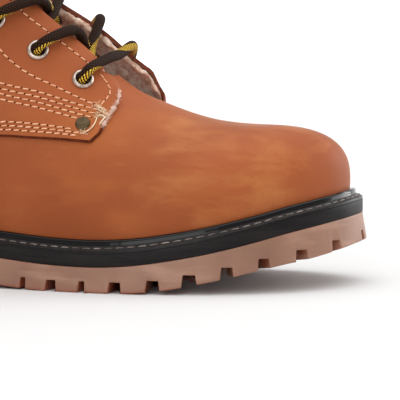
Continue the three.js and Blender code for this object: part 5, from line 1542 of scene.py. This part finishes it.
# The studio. A plain pale floor, a white horizon under grey walls and a bright ceiling, and four large soft
# lamps: over the boot, before its toe, at its outer side, and one turned on the wall behind it.
HORIZON = {"strength": 1.02, "from": 0.12, "to": 0.32}
WALLS = 0.52
CEILING = {"strength": 0.9, "from": 0.62, "to": 0.95}
FLOOR_REACH = 5
LAMPS = {
    "overhead": {"at": (0.4, 0, 1.3), "aim": (0.14, 0, 0.05), "size": (2.2, 1.7), "watts": 11},
    "before the toe": {"at": (1.3, 0.9, 0.45), "aim": (0.25, 0, 0), "size": (1.4, 0.7), "watts": 11},
    "outer side": {"at": (0.1, -1.4, 0.6), "aim": (0.1, 0, 0.05), "size": (1.0, 0.7), "watts": 6},
    "on the wall": {"at": (0.2, 2.9, 1.6), "aim": (0.2, 3.7, 0), "size": (5, 2.4), "watts": 130},
}
corners = [(FLOOR_REACH * x, FLOOR_REACH * y, 0) for x, y in ((-1, -1), (1, -1), (1, 1), (-1, 1))]
mesh = bpy.data.meshes.new("floor")
mesh.from_pydata(corners, [], [(0, 1, 2, 3)])
floor = put_in_scene("floor", mesh)
pale_floor, _, surface, _ = new_material("painted floor", Roughness=0.7, Specular_IOR_Level=0.08)
surface.inputs["Base Color"].default_value = linear("#dadada")
coat(floor, pale_floor)
world = bpy.data.worlds.new("surround")
world.use_nodes = True
backdrop = world.node_tree.nodes["Background"]
backdrop.inputs["Color"].default_value = (1, 1, 1, 1)
direction = add_node(world.node_tree, "ShaderNodeTexCoord").outputs["Generated"]
rise = add_node(world.node_tree, "ShaderNodeSeparateXYZ", {"Vector": direction}).outputs["Z"]
shades = []
for band, low, high in ((HORIZON, HORIZON["strength"], WALLS), (CEILING, 0, CEILING["strength"])):
    shade = {"Value": rise, "From Min": band["from"], "From Max": band["to"], "To Min": low, "To Max": high}
    shade = add_node(world.node_tree, "ShaderNodeMapRange", shade, interpolation_type="SMOOTHSTEP")
    shades.append(shade.outputs["Result"])
both = add_node(world.node_tree, "ShaderNodeMath", {0: shades[0], 1: shades[1]}, operation="ADD").outputs[0]
world.node_tree.links.new(both, backdrop.inputs["Strength"])
bpy.context.scene.world = world
bpy.context.scene.view_settings.view_transform = "Standard"
for name, lamp in LAMPS.items():
    light = bpy.data.lights.new(name, "AREA")
    light.shape = "RECTANGLE"
    light.size, light.size_y = lamp["size"]
    light.energy = lamp["watts"]
    hung = put_in_scene(name, light)
    hung.location = lamp["at"]
    hung.rotation_euler = (hung.location - Vector(lamp["aim"])).to_track_quat("Z", "Y").to_euler()
